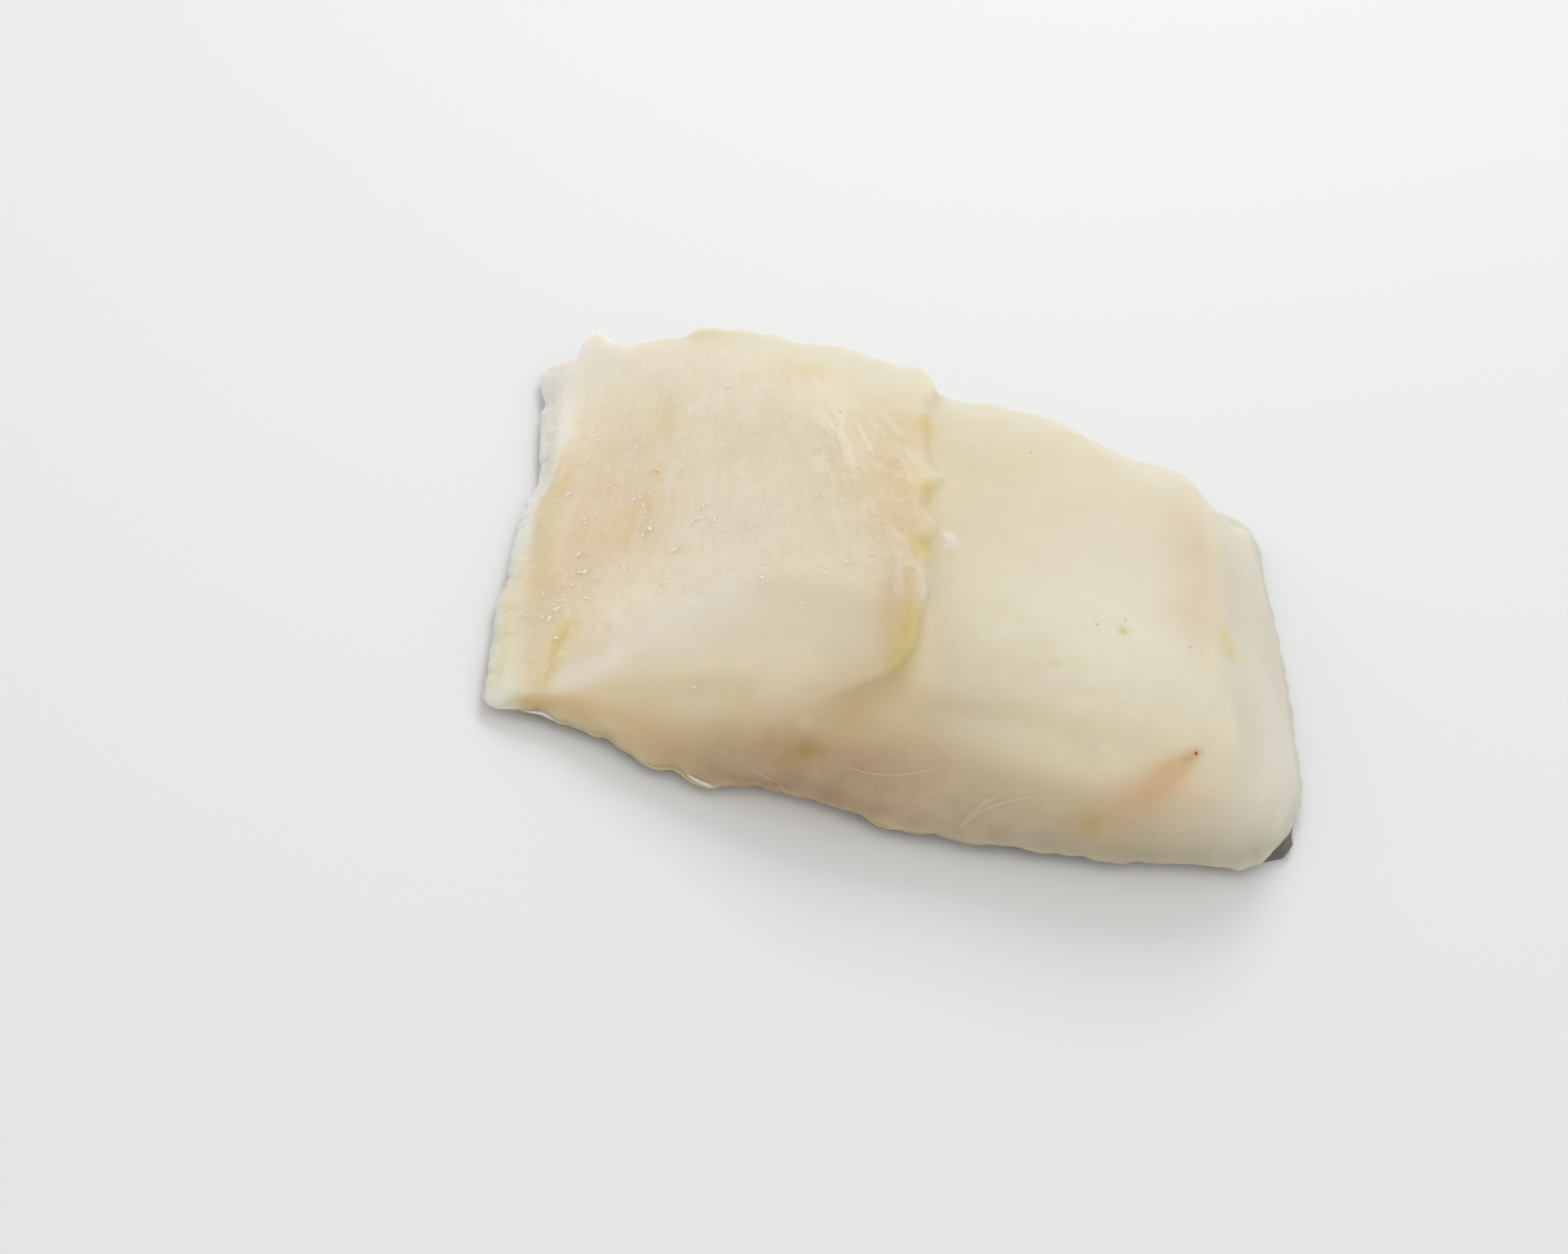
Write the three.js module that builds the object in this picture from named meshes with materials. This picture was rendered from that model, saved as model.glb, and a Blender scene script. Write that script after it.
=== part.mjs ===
// A desalted cod loin: one thick portion cut from the back of a salted fillet, lying on its skin.
// Millimetres, +Z up. X runs along the loin, from the bevelled thin end (-X) to the thick end (+X).
// Y runs across it, from the front side (-Y) to the back side (+Y). The origin is the middle of the
// underside, on the surface that the loin lies on.
import * as THREE from "three";
import { mergeVertices } from "three/addons/utils/BufferGeometryUtils.js";

// Driving dimensions
const SKIN_THICKNESS = 1.4;
const SKIN_GAP = 0.3; // clearance between the skin and the flesh above it
const THICK_END_HEIGHT = 31.5; // flesh and skin together, at the thick part of the loin
const THIN_END_HEIGHT = 6; // the same, at the foot of the bevel
const CROWN = 0.2; // how much higher the middle of the loin is than its two sides, as a share

// Plan outlines, as the corners [x, y] of a four-sided piece: the foot, where the flesh meets the
// skin, and the shoulder, where its sides turn into the top. The shoulder is smaller, so the sides
// lean inwards, most of all the slanting cut of the thick end.
const FOOT = {
  frontThin: [-74, -27],
  frontThick: [76, -39],
  backThick: [75, 52],
  backThin: [-67, 70],
};
const SHOULDER = {
  frontThin: [-69, -26],
  frontThick: [58, -37],
  backThick: [53, 36],
  backThin: [-64, 71],
};
const SKIN = {
  frontThin: [-70, -24],
  frontThick: [74.5, -35.5],
  backThick: [73, 50],
  backThin: [-65, 69],
};
// How far each side bows outwards at its middle
const FOOT_BOW = { front: 9, back: 2, thin: -1.5, thick: 1.5 };
const SHOULDER_BOW = { front: 8.5, back: 4.5, thin: -1.5, thick: 1 };
const SKIN_BOW = { front: 8, back: 2, thin: -1.5, thick: 0.5 };
// The front side reaches its full bow only behind the tapered spur of the thin end (shares of the
// half length, where the spur ends and where it starts).
const SPUR = { tip: -0.95, root: -0.6 };

// Roundness: exponents of the superellipses that turn box corners into soft ones. Higher is sharper.
// The shoulder is soft along the front side. It is crisp round the thin end, and crisper again where
// the cut of the thick end meets the top.
const PLAN_ROUNDING = { frontThin: 60, frontThick: 8, backThick: 24, backThin: 60 };
const SKIN_ROUNDING = { frontThin: 60, frontThick: 30, backThick: 30, backThin: 60 };
const SHOULDER_ROUNDING = { frontThin: 4, frontThick: 3.2, backThick: 8, backThin: 14 };
const THICK_END_ROUNDING = 12;
const THIN_END_ROUNDING = 18;

// The bevel that thins the loin, as shares of its half length: where it starts, and where it ends at
// the front side and at the back side
const BEVEL = { foot: -1.05, topFront: 0.12, topBack: -0.22 };

// Hand-cut unevenness of the top: height, and waves along and across with their phases
const TOP_WAVES = { height: 0.7, along: 5.2, alongPhase: 0.9, across: 4.1, acrossPhase: 2.2 };

// Segments of the flesh block along, across and up, and of each side of the skin
const FLESH_SEGMENTS = [46, 30, 9];
const SKIN_SEGMENTS = 28;

const lerp = THREE.MathUtils.lerp;
const smoothstep = THREE.MathUtils.smoothstep;

// A point of a four-sided outline: a runs -1 to 1 along the loin, b runs -1 to 1 across it.
function onOutline(corners, bow, a, b) {
  const along = (a + 1) / 2;
  const across = (b + 1) / 2;
  const front = corners.frontThin.map((v, i) => lerp(v, corners.frontThick[i], along));
  const back = corners.backThin.map((v, i) => lerp(v, corners.backThick[i], along));
  const [x, y] = front.map((v, i) => lerp(v, back[i], across));
  const frontBow = bow.front * smoothstep(a, SPUR.tip, SPUR.root);
  const bowAcross = lerp(-frontBow, bow.back, across) * (1 - a * a);
  const bowAlong = lerp(-bow.thin, bow.thick, along) * (1 - b * b);
  return [x + bowAlong, y + bowAcross];
}

// Moves a point of the square to the rounded square of the same size, so that its corners are soft.
function softenCorner(a, b, exponent) {
  const size = Math.max(Math.abs(a), Math.abs(b));
  if (size === 0) return [0, 0];
  const radius = (Math.abs(a) ** exponent + Math.abs(b) ** exponent) ** (1 / exponent);
  return [(a * size) / radius, (b * size) / radius];
}

// The roundness at a place, blended from those of the four corners
function roundnessAt(rounding, a, b) {
  const along = smoothstep(a, -1, 0.3);
  const front = lerp(rounding.frontThin, rounding.frontThick, along);
  const back = lerp(rounding.backThin, rounding.backThick, along);
  return lerp(front, back, (b + 1) / 2);
}

// The roundness of the shoulder, which is an end's own where that end is nearest
function shoulderRoundness(a, b) {
  const onThickEnd = smoothstep(a - Math.abs(b), -0.6, 0.9);
  const onThinEnd = smoothstep(-a - Math.abs(b), -0.4, 0.1);
  const onSides = lerp(roundnessAt(SHOULDER_ROUNDING, a, b), THICK_END_ROUNDING, onThickEnd);
  return lerp(onSides, THIN_END_ROUNDING, onThinEnd);
}

// Height of the top above the surface that the loin lies on
function topHeight(a, b) {
  const bevelTop = lerp(BEVEL.topFront, BEVEL.topBack, (b + 1) / 2);
  const bevel = smoothstep(a, BEVEL.foot, bevelTop);
  const crown = 1 - CROWN * b * b;
  const wave =
    Math.sin(TOP_WAVES.along * a + TOP_WAVES.alongPhase) *
    Math.sin(TOP_WAVES.across * b + TOP_WAVES.acrossPhase);
  return lerp(THIN_END_HEIGHT, THICK_END_HEIGHT * crown, bevel) + TOP_WAVES.height * bevel * wave;
}

// Shapes a block whose x and y run -1 to 1 and whose z runs 0 to 1 into the flesh.
function fleshPoint(block) {
  const planRoundness = roundnessAt(PLAN_ROUNDING, block.x, block.y);
  const [a, b] = softenCorner(block.x, block.y, planRoundness);
  const outward = Math.max(Math.abs(block.x), Math.abs(block.y));
  const [inset, rise] = softenCorner(outward, block.z, shoulderRoundness(a, b));
  const shrink = outward === 0 ? 1 : inset / outward;
  const foot = onOutline(FOOT, FOOT_BOW, a * shrink, b * shrink);
  const shoulder = onOutline(SHOULDER, SHOULDER_BOW, a * shrink, b * shrink);
  const floor = SKIN_THICKNESS + SKIN_GAP;
  return new THREE.Vector3(
    lerp(foot[0], shoulder[0], rise),
    lerp(foot[1], shoulder[1], rise),
    lerp(floor, topHeight(a * shrink, b * shrink), rise),
  );
}

// A box of the given segments, with x and y from -1 to 1 and z from 0 to 1, shaped point by point.
function shapedBlock(segments, pointOf) {
  const box = new THREE.BoxGeometry(2, 2, 1, ...segments);
  box.translate(0, 0, 0.5);
  box.deleteAttribute("normal");
  box.deleteAttribute("uv");
  const geometry = mergeVertices(box);
  const position = geometry.attributes.position;
  const block = new THREE.Vector3();
  for (let i = 0; i < position.count; i++) {
    const shaped = pointOf(block.fromBufferAttribute(position, i));
    position.setXYZ(i, shaped.x, shaped.y, shaped.z);
  }
  geometry.computeVertexNormals();
  return geometry;
}

// The outline of the skin, side by side round the loin from the thin end of the front side
function skinOutline() {
  const corners = [[-1, -1], [1, -1], [1, 1], [-1, 1]];
  const points = [];
  for (let side = 0; side < 4; side++) {
    const from = corners[side];
    const to = corners[(side + 1) % 4];
    for (let step = 0; step < SKIN_SEGMENTS; step++) {
      const square = from.map((v, i) => lerp(v, to[i], step / SKIN_SEGMENTS));
      const [a, b] = softenCorner(...square, roundnessAt(SKIN_ROUNDING, ...square));
      points.push(new THREE.Vector2(...onOutline(SKIN, SKIN_BOW, a, b)));
    }
  }
  return new THREE.Shape(points);
}

function makeFlesh() {
  const material = new THREE.MeshStandardMaterial({ color: 0xe0d6bd, roughness: 0.45, metalness: 0 });
  const mesh = new THREE.Mesh(shapedBlock(FLESH_SEGMENTS, fleshPoint), material);
  mesh.name = "flesh";
  return mesh;
}

function makeSkin() {
  const material = new THREE.MeshStandardMaterial({ color: 0x5f5b4a, roughness: 0.5, metalness: 0 });
  const sheet = new THREE.ExtrudeGeometry(skinOutline(), { depth: SKIN_THICKNESS, bevelEnabled: false });
  const mesh = new THREE.Mesh(sheet, material);
  mesh.name = "skin";
  return mesh;
}

const loin = new THREE.Group();
loin.add(makeFlesh(), makeSkin());

// The origin is the middle of the underside.
const box = new THREE.Box3().setFromObject(loin);
const centre = box.getCenter(new THREE.Vector3());
for (const mesh of loin.children) {
  mesh.position.set(-centre.x, -centre.y, -box.min.z);
}

export default loin;
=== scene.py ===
# %% [markdown]
# # A desalted cod loin
#
# A cod loin is the thick strip of muscle along the fish's back, cut into a portion. Salting draws
# water out of it and soaking puts the water back, so the flesh ends up pale, dense and moist. The
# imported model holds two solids: the flesh, and the skin that it lies on. They give the sizes, and
# every piece made below starts from them, so nothing has to be fitted afterwards.

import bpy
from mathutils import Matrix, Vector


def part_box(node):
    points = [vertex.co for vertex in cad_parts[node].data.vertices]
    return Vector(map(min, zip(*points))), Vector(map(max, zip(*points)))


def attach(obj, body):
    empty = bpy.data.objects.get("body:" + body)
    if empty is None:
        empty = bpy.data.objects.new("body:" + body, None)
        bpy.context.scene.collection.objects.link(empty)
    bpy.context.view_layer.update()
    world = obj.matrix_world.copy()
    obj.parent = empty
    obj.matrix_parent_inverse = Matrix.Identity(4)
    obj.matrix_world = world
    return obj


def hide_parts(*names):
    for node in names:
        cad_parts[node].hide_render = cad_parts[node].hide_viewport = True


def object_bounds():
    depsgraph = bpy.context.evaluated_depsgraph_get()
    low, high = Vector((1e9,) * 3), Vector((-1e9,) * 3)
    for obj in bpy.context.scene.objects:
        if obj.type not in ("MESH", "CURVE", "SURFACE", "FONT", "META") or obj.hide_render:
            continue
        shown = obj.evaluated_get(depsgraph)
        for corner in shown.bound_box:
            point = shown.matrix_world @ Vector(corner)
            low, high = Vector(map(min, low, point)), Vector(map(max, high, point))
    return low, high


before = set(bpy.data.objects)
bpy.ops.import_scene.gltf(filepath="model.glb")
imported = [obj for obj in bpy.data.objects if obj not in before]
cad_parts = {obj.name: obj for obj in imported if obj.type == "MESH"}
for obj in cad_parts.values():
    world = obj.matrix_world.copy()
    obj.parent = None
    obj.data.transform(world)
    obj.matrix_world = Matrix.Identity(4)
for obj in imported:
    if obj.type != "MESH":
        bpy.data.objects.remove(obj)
cad_low, cad_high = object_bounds()
print("nodes:", sorted(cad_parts))

# %% [markdown]
# ## Millimetres and places
#
# Fish is easier to think of in millimetres, so the shapes are worked out in millimetres and turned to
# Blender's metres at the end. A place on the loin is given as shares of its own box: along it from
# the bevelled thin end, across it from the front side to the back, and up from the skin.

# %% Measure the loin
import itertools
import math

import bmesh
import bpy
import numpy as np
from mathutils import Matrix, Vector
from mathutils.bvhtree import BVHTree

MM = 0.001
low, high = (np.array(corner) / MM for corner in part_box("flesh"))


def at(along, across, up=0.0):
    """The point at these shares of the loin's length, width and height, in mm."""
    return low + np.array([along, across, up]) * (high - low)


print("the flesh is", np.round(high - low, 1), "mm")

# %% [markdown]
# ## Soft noise
#
# Nothing on a hand-cut piece of fish is straight. A displacement texture could roughen it, but the
# shape wouldn't be in the mesh, so the points themselves are moved. Value noise is the simplest kind
# that can be worked out for many points at once: a fixed random number sits at each corner of a grid,
# and a smooth blend fills the space between. The seed keeps it the same on every run.

# %% Noise and falloff
NOISE_TABLE = 4096
NOISE_PRIMES = np.array([73856093, 19349663, 83492791])


def soft_noise(points, size, seed):
    """Smooth noise from -1 to 1 at points in mm, with bumps about size mm apart."""
    table = np.random.default_rng(seed).uniform(-1, 1, NOISE_TABLE)
    cell = points / size
    corner = np.floor(cell).astype(np.int64)
    blend = cell - corner
    blend = blend * blend * (3 - 2 * blend)
    total = np.zeros(len(points))
    for step in itertools.product((0, 1), repeat=3):
        key = (corner + step) @ NOISE_PRIMES
        total += table[key % NOISE_TABLE] * np.prod(np.where(step, blend, 1 - blend), axis=1)
    return total


def ramp(values, start, end):
    """0 at start, 1 at end, and smooth between them. End may be below start."""
    share = np.clip((values - start) / (end - start), 0, 1)
    return share * share * (3 - 2 * share)


def ramp_along(points, start, end):
    """0 at one share of the loin's length, 1 at another, and smooth between them."""
    return ramp(points[:, 0], at(start, 0)[0], at(end, 0)[0])


def blob(points, centre, radii):
    """1 at the centre, fading to nothing over the radii in mm."""
    return np.exp(-(((points - centre) / radii) ** 2).sum(axis=1))


def plan_path(*places):
    """A path on the plan of the loin, through places given as shares along it and across it."""
    return np.array([at(*place) for place in places]) * [1, 1, 0]


def path_distance(points, path):
    """How far each point is from a path, its side (+1 is left) and its place along it (0 to 1)."""
    best = np.full(len(points), np.inf)
    side = np.ones(len(points))
    along = np.zeros(len(points))
    for i in range(len(path) - 1):
        run = path[i + 1] - path[i]
        offset = points - path[i]
        share = np.clip(offset @ run / (run @ run), 0, 1)
        distance = np.linalg.norm(offset - share[:, None] * run, axis=1)
        nearer = distance < best
        cross = run[0] * offset[:, 1] - run[1] * offset[:, 0]
        best = np.where(nearer, distance, best)
        side = np.where(nearer, np.where(cross < 0, -1, 1), side)
        along = np.where(nearer, (i + share) / (len(path) - 1), along)
    return best, side, along


print("noise at the origin:", soft_noise(np.zeros((1, 3)), 5, 1))

# %% [markdown]
# ## The flesh as a mesh
#
# The solid's triangles are too coarse for torn edges. They are joined into four-sided faces and
# subdivided, which rounds them and gives a point every 0.9 mm or so. A voxel remesh would make finer
# faces everywhere, but it would round off the crisp foot of the thin end.

# %% Copy and subdivide the flesh
MERGE_DISTANCE = 0.001 * MM
FLESH_SUBDIVISIONS = 2
QUAD_ANGLE = math.radians(60)
SMOOTHING_STEPS = 4


def solid_copy(node, name):
    """A new object with the mesh of a solid, its corners merged and its triangles joined in pairs."""
    bm = bmesh.new()
    bm.from_mesh(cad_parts[node].data)
    bmesh.ops.remove_doubles(bm, verts=bm.verts, dist=MERGE_DISTANCE)
    bmesh.ops.join_triangles(
        bm, faces=bm.faces, angle_face_threshold=QUAD_ANGLE, angle_shape_threshold=QUAD_ANGLE
    )
    mesh = bpy.data.meshes.new(name)
    bm.to_mesh(mesh)
    bm.free()
    piece = bpy.data.objects.new(name, mesh)
    bpy.context.scene.collection.objects.link(piece)
    return piece


def apply_modifiers(piece):
    """Turns what the modifiers make into the piece's own mesh."""
    shaped = piece.evaluated_get(bpy.context.evaluated_depsgraph_get())
    mesh = bpy.data.meshes.new_from_object(shaped)
    piece.modifiers.clear()
    piece.data = mesh


flesh = solid_copy("flesh", "loin_flesh")
flesh.modifiers.new("rounded", "SUBSURF").levels = FLESH_SUBDIVISIONS
evened = flesh.modifiers.new("evened", "SMOOTH")
evened.factor = 0.5
evened.iterations = SMOOTHING_STEPS
apply_modifiers(flesh)
print("flesh faces:", len(flesh.data.polygons))

# %% [markdown]
# ## Faces where they count
#
# The underside is flat and rests on the skin, so its thousands of faces are swapped for one, cut into
# long triangles. The faces saved go to the bevel and the torn thin end, where the finest shapes are.
# A third subdivision of the whole piece would do the same, with four times the faces. Where the front
# side turns into the bevel, extra rounds of smoothing make the shoulder soft.

# %% Coarse underside, fine bevel
FINE_UNTIL = at(0.515, 0)[0] * MM
THIN_END_UNTIL = at(0.10, 0)[0] * MM
FINE_ENOUGH = 0.5 * MM  # an edge this short isn't split again
FACING_UP = 0.42
FACING_DOWN = -0.9999
SOFT_SHOULDER = at(0.245, 0.140, 0.43)
SHOULDER_REACH = 13
SHOULDER_STEPS = 60

bm = bmesh.new()
bm.from_mesh(flesh.data)
underside = [face for face in bm.faces if face.normal.z < FACING_DOWN]
bmesh.ops.delete(bm, geom=underside, context="FACES")
open_edges = [edge for edge in bm.edges if edge.is_boundary]
closed = bmesh.ops.holes_fill(bm, edges=open_edges, sides=0)
bmesh.ops.triangulate(bm, faces=closed["faces"])
loose = [vert for vert in bm.verts if not vert.link_faces]
bmesh.ops.delete(bm, geom=loose, context="VERTS")
shoulder = Vector(SOFT_SHOULDER * MM)
near_shoulder = [vert for vert in bm.verts if (vert.co - shoulder).length < SHOULDER_REACH * MM]
every_axis = {"use_axis_x": True, "use_axis_y": True, "use_axis_z": True}
for _ in range(SHOULDER_STEPS):
    bmesh.ops.smooth_vert(bm, verts=near_shoulder, factor=0.5, **every_axis)

fine_edges = set()
for face in bm.faces:
    x = face.calc_center_median().x
    is_bevel = x < FINE_UNTIL and face.normal.z > FACING_UP
    is_thin_end = x < THIN_END_UNTIL and face.normal.z > FACING_DOWN
    if is_bevel or is_thin_end:
        fine_edges.update(edge for edge in face.edges if edge.calc_length() > FINE_ENOUGH)
bmesh.ops.subdivide_edges(bm, edges=list(fine_edges), cuts=1, use_grid_fill=True)
bm.to_mesh(flesh.data)
bm.free()
print("flesh faces now:", len(flesh.data.polygons))

# %% [markdown]
# ## Points as arrays
#
# Asking Blender for one point at a time is slow, so all of them are read as one array and written back
# as one. A number stored at each point travels with the mesh, and a material can read it by its name.

# %% Read and write points
def read_points(mesh):
    """The points of a mesh in mm, and their normals."""
    points = np.empty(len(mesh.vertices) * 3, np.float32)
    mesh.vertices.foreach_get("co", points)
    normals = np.empty(len(mesh.vertices) * 3, np.float32)
    mesh.vertex_normals.foreach_get("vector", normals)
    return points.reshape(-1, 3).astype(float) / MM, normals.reshape(-1, 3).astype(float)


def write_points(mesh, points):
    """Moves the points of a mesh to these places in mm."""
    mesh.vertices.foreach_set("co", (points * MM).astype(np.float32).ravel())
    mesh.update()


def paint(mesh, name, values):
    """Stores a number from 0 to 1 at each point, under this name."""
    layer = mesh.attributes.new(name, "FLOAT", "POINT")
    layer.data.foreach_set("value", np.clip(values, 0, 1).astype(np.float32))


LEVEL_ENOUGH = (0.25, 0.6)  # upward part of the normal, from a steep face to one that counts as top
points, normals = read_points(flesh.data)
top_facing = ramp(normals[:, 2], *LEVEL_ENOUGH)
print("flesh points:", len(points))

# %% [markdown]
# ## The edge of the raised flake
#
# Cod muscle is built of flakes. Where the bevel was cut, the upper flakes end in a low, wandering
# step across the loin, which turns off along the front side. Towards the back it is soft. Near the
# front it is a crisp lip, as if peeled. It could be cut with a knife tool as a row of edges, but then
# the mesh would have to follow it. Here a path is drawn over the mesh instead. The side of it that a
# point lies on, and its distance, shape the step and later colour it.

# %% Flake edge
FLAKE_EDGE = plan_path(
    (0.530, 0.95), (0.524, 0.827), (0.500, 0.720), (0.486, 0.630), (0.492, 0.560),
    (0.503, 0.525), (0.485, 0.495), (0.481, 0.450), (0.491, 0.400), (0.480, 0.365),
    (0.483, 0.300), (0.476, 0.240), (0.470, 0.185), (0.456, 0.150), (0.434, 0.134),
    (0.400, 0.120), (0.340, 0.095), (0.220, 0.0),
)
SOFT_STEP = 0.75
LIP_STEP = 0.65
SOFT_WIDTH = 3.2
LIP_WIDTH = 1.6
LOBE_LENGTH = 13  # the raised flake runs back into the bevel over this length

edge_distance, edge_side, _ = path_distance(points * [1, 1, 0], FLAKE_EDGE)
at_lip = ramp(points[:, 1], at(0, 0.31)[1], at(0, 0.20)[1])
edge_wander = 0.7 * soft_noise(points, 7, 11) + 0.6 * soft_noise(points, 2.6, 12)
from_edge = edge_distance * edge_side + edge_wander * (1 - 0.7 * at_lip)
step_here = ramp_along(points, 0.36, 0.43) * (1 - 0.9 * ramp(points[:, 1], 30, 50))
step_width = SOFT_WIDTH + (LIP_WIDTH - SOFT_WIDTH) * at_lip
step_height = SOFT_STEP * (1 + 0.5 * soft_noise(points, 9, 13)) * (1 - at_lip) + LIP_STEP * at_lip
on_lobe = ramp(from_edge, step_width / 2, -step_width / 2) * ramp(from_edge, -LOBE_LENGTH, -1)
groove = 0.04 * at_lip * np.exp(-(((from_edge - 1.5) / 1.4) ** 2))
relief = (step_height * on_lobe - groove) * step_here * top_facing
print("the step stands", round(float(relief.max()), 2), "mm proud")

# %% [markdown]
# ## Fibres, bundles and swells
#
# Over the whole piece the knife and the soft muscle leave long shallow swells. The bevel cuts across
# the muscle, so its fibres show as strokes that fan out from the back edge. Bundles of them stand a
# little proud of the rest. Each could be a strand of hair, but on a cut they are part of the surface.
# So the noise is read in fan coordinates, angle and distance, and comes out long and thin along them.

# %% Swells and fibres
FAN_CENTRE = at(0.24, 1.35)
FAN_REACH = 80.0
BUNDLE_WIDTH = 2.0
STROKE_WIDTH = 0.9
# Heights in mm, of the swells of the whole piece and of what stands out on the bevel
SWELL, RIPPLE = 0.42, 0.14
BUNDLE, STROKE, GRAIN, DENT = 0.13, 0.04, 0.06, 0.12
SMOOTH_FRONT = plan_path(
    (-0.05, 0.12), (0.062, 0.14), (0.117, 0.22), (0.185, 0.28), (0.30, 0.30), (0.44, 0.24),
    (0.60, 0.24),
)

front_distance, front_side_tan_and_shade, _ = path_distance(points * [1, 1, 0], SMOOTH_FRONT)
behind_front = ramp(front_distance * front_side_tan_and_shade, -2.0, 5.0)
on_bevel = ramp(from_edge, 1.0, -2.0) * ramp_along(points, 0.60, 0.40)
on_bevel = on_bevel * top_facing * behind_front * ramp(normals[:, 1], 0.30, 0.05)
fan_offset = points - FAN_CENTRE
fan_angle = np.arctan2(fan_offset[:, 0], -fan_offset[:, 1])
fan_radius = np.hypot(fan_offset[:, 0], fan_offset[:, 1])
fan_points = np.stack([fan_angle * FAN_REACH, fan_radius * 0.22, points[:, 2] * 0.1], axis=1)
bundles = soft_noise(fan_points, BUNDLE_WIDTH, 23) + 0.4 * soft_noise(fan_points, 0.8, 25)
bundles = ramp(bundles, 0.25, 0.55)
strokes = soft_noise(fan_points * [1, 1.8, 1], STROKE_WIDTH, 26)
grains = soft_noise(points, 1.1, 27) + 0.7 * soft_noise(points, 0.6, 28)

relief += SWELL * soft_noise(points, 24, 21) + RIPPLE * soft_noise(points, 9, 22)
patches = ramp(soft_noise(points, 11, 29), -0.4, 0.5)
bevel_relief = BUNDLE * bundles * patches + STROKE * strokes + GRAIN * grains
bevel_relief += DENT * soft_noise(points, 5, 24)
relief += on_bevel * bevel_relief
print("bundles cover", round(float((bundles * on_bevel).mean()), 2))

# %% [markdown]
# ## Rags of membrane and the ridge of the thick end
#
# Thin white membrane wraps each flake, and the knife left a few rags of it by the flake edge. At the
# thick end, the edge between the top and the slanting cut stands up as a low ridge. Rags as separate
# sheets would lift off the flesh, so both are raised from its own mesh.

# %% Rags
# Place, length and width in mm, turn in degrees, and strength
RAGS = [
    (at(0.514, 0.381), 4.4, 2.4, 115, 1.00),
    (at(0.508, 0.366), 2.2, 1.4, 20, 0.80),
    (at(0.499, 0.545), 4.8, 1.3, -40, 0.60),
    (at(0.489, 0.420), 4.2, 1.3, -60, 0.55),
    (at(0.479, 0.266), 4.0, 1.3, 88, 0.60),
    (at(0.430, 0.640), 5.0, 1.6, -62, 0.45),
    (at(0.294, 0.192), 3.2, 1.2, 80, 0.45),
    (at(0.359, 0.082), 2.6, 2.2, 20, 0.35),
    (at(0.232, 0.208), 7.5, 0.9, 98, 0.30),
]
RAG_THICKNESS = 0.25

membrane = np.zeros(len(points))
ragged = 0.55 * soft_noise(points, 1.5, 61) + 0.45 * soft_noise(points, 0.9, 63)
for centre, length, width, turn, strength in RAGS:
    turn = math.radians(turn)
    offset = points - centre
    along = (offset[:, 0] * math.cos(turn) + offset[:, 1] * math.sin(turn)) / (length / 2)
    across = (offset[:, 1] * math.cos(turn) - offset[:, 0] * math.sin(turn)) / (width / 2)
    membrane = np.maximum(membrane, strength * ramp(np.hypot(along, across) + ragged, 1.35, 0.55))
print("rags:", len(RAGS))

# %% Ridge
RIDGE = plan_path(
    (0.905, 0.80), (0.869, 0.613), (0.855, 0.486), (0.847, 0.377), (0.838, 0.285),
    (0.835, 0.218), (0.852, 0.163), (0.864, 0.105), (0.885, 0.02),
)
RIDGE_HEIGHT = 0.15
RIDGE_HALF_WIDTH = 1.7
RIDGE_FROM_HEIGHT = (14, 22)  # the ridge fades in between these heights

ridge_distance, _, _ = path_distance(points * [1, 1, 0], RIDGE)
ridge = np.exp(-((ridge_distance / RIDGE_HALF_WIDTH) ** 2)) * ramp(points[:, 2], *RIDGE_FROM_HEIGHT)
relief += RIDGE_HEIGHT * ridge
relief += RAG_THICKNESS * membrane * (0.7 + 0.3 * soft_noise(points, 1.2, 30))
points += relief[:, None] * normals
print("relief from", round(float(relief.min()), 2), "to", round(float(relief.max()), 2), "mm")

# %% [markdown]
# ## Torn edges
#
# The thin end and the back edge tore a little as the loin was cut and handled. The thin end's back
# corner has a square bite out of it, and next to it a tip stands out. Sculpting would give such edges
# by hand. Pairs of numbers that say how far out an edge stands are easier to change, and noise of two
# sizes on top makes it ragged. The points move most at the very edge, and not at all further in.

# %% How far each edge stands out
# How far an edge stands out, as pairs: where along the edge, and by how much, both in mm
BACK_CORNER = [
    (-66, -6.0), (-64.6, -6.0), (-63.2, -4.4), (-62.4, 0.0), (-59.8, 3.2), (-57.2, 0.0),
    (-54.0, -1.2), (-48, 0.0),
]
THIN_EDGE = [
    (50, 1.8), (46, 0.9), (41, 0.0), (34, 0.0), (29, -0.4), (23, -1.2), (18, -1.6), (15, -1.0),
    (9, 0.7), (-8, 1.1), (-16, 1.8), (-23, 1.0), (-34, 0.2), (-42, 0.6),
]
BACK_EDGE = [
    (-50, -0.2), (-43.6, -0.3), (-41.4, 1.5), (-38, 1.2), (-31, 0.0), (-23, -0.9), (-17, 0.6),
    (1, 1.4), (3.5, -1.5), (9, -1.4), (15, 0.5), (28, 1.2), (42, -0.9), (52, 0.6), (59, -2.0),
    (62, -3.8), (66, -3.6), (69, -2.4), (72, 0.4),
]
FRONT_EDGE = [
    (-73, 0.0), (-68, -1.2), (-64, -1.7), (-60.5, -1.0), (-57, -2.2), (-52.4, -2.6), (-49.5, -0.8),
    (-47, 0.4), (-44, 0.0), (-40.4, -0.9), (-39, 0.2), (-34, 0.6), (-29, -1.5), (-24, -2.4),
    (-20, -2.6), (-14, -2.0), (-7.5, -0.4), (-5.8, 0.4), (9, 0.3), (13, 1.0), (18, 0.1),
    (22, 0.7), (30, 0.0), (36, 0.7), (46, -0.7), (53, -0.7), (60, 0.7),
]


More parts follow.
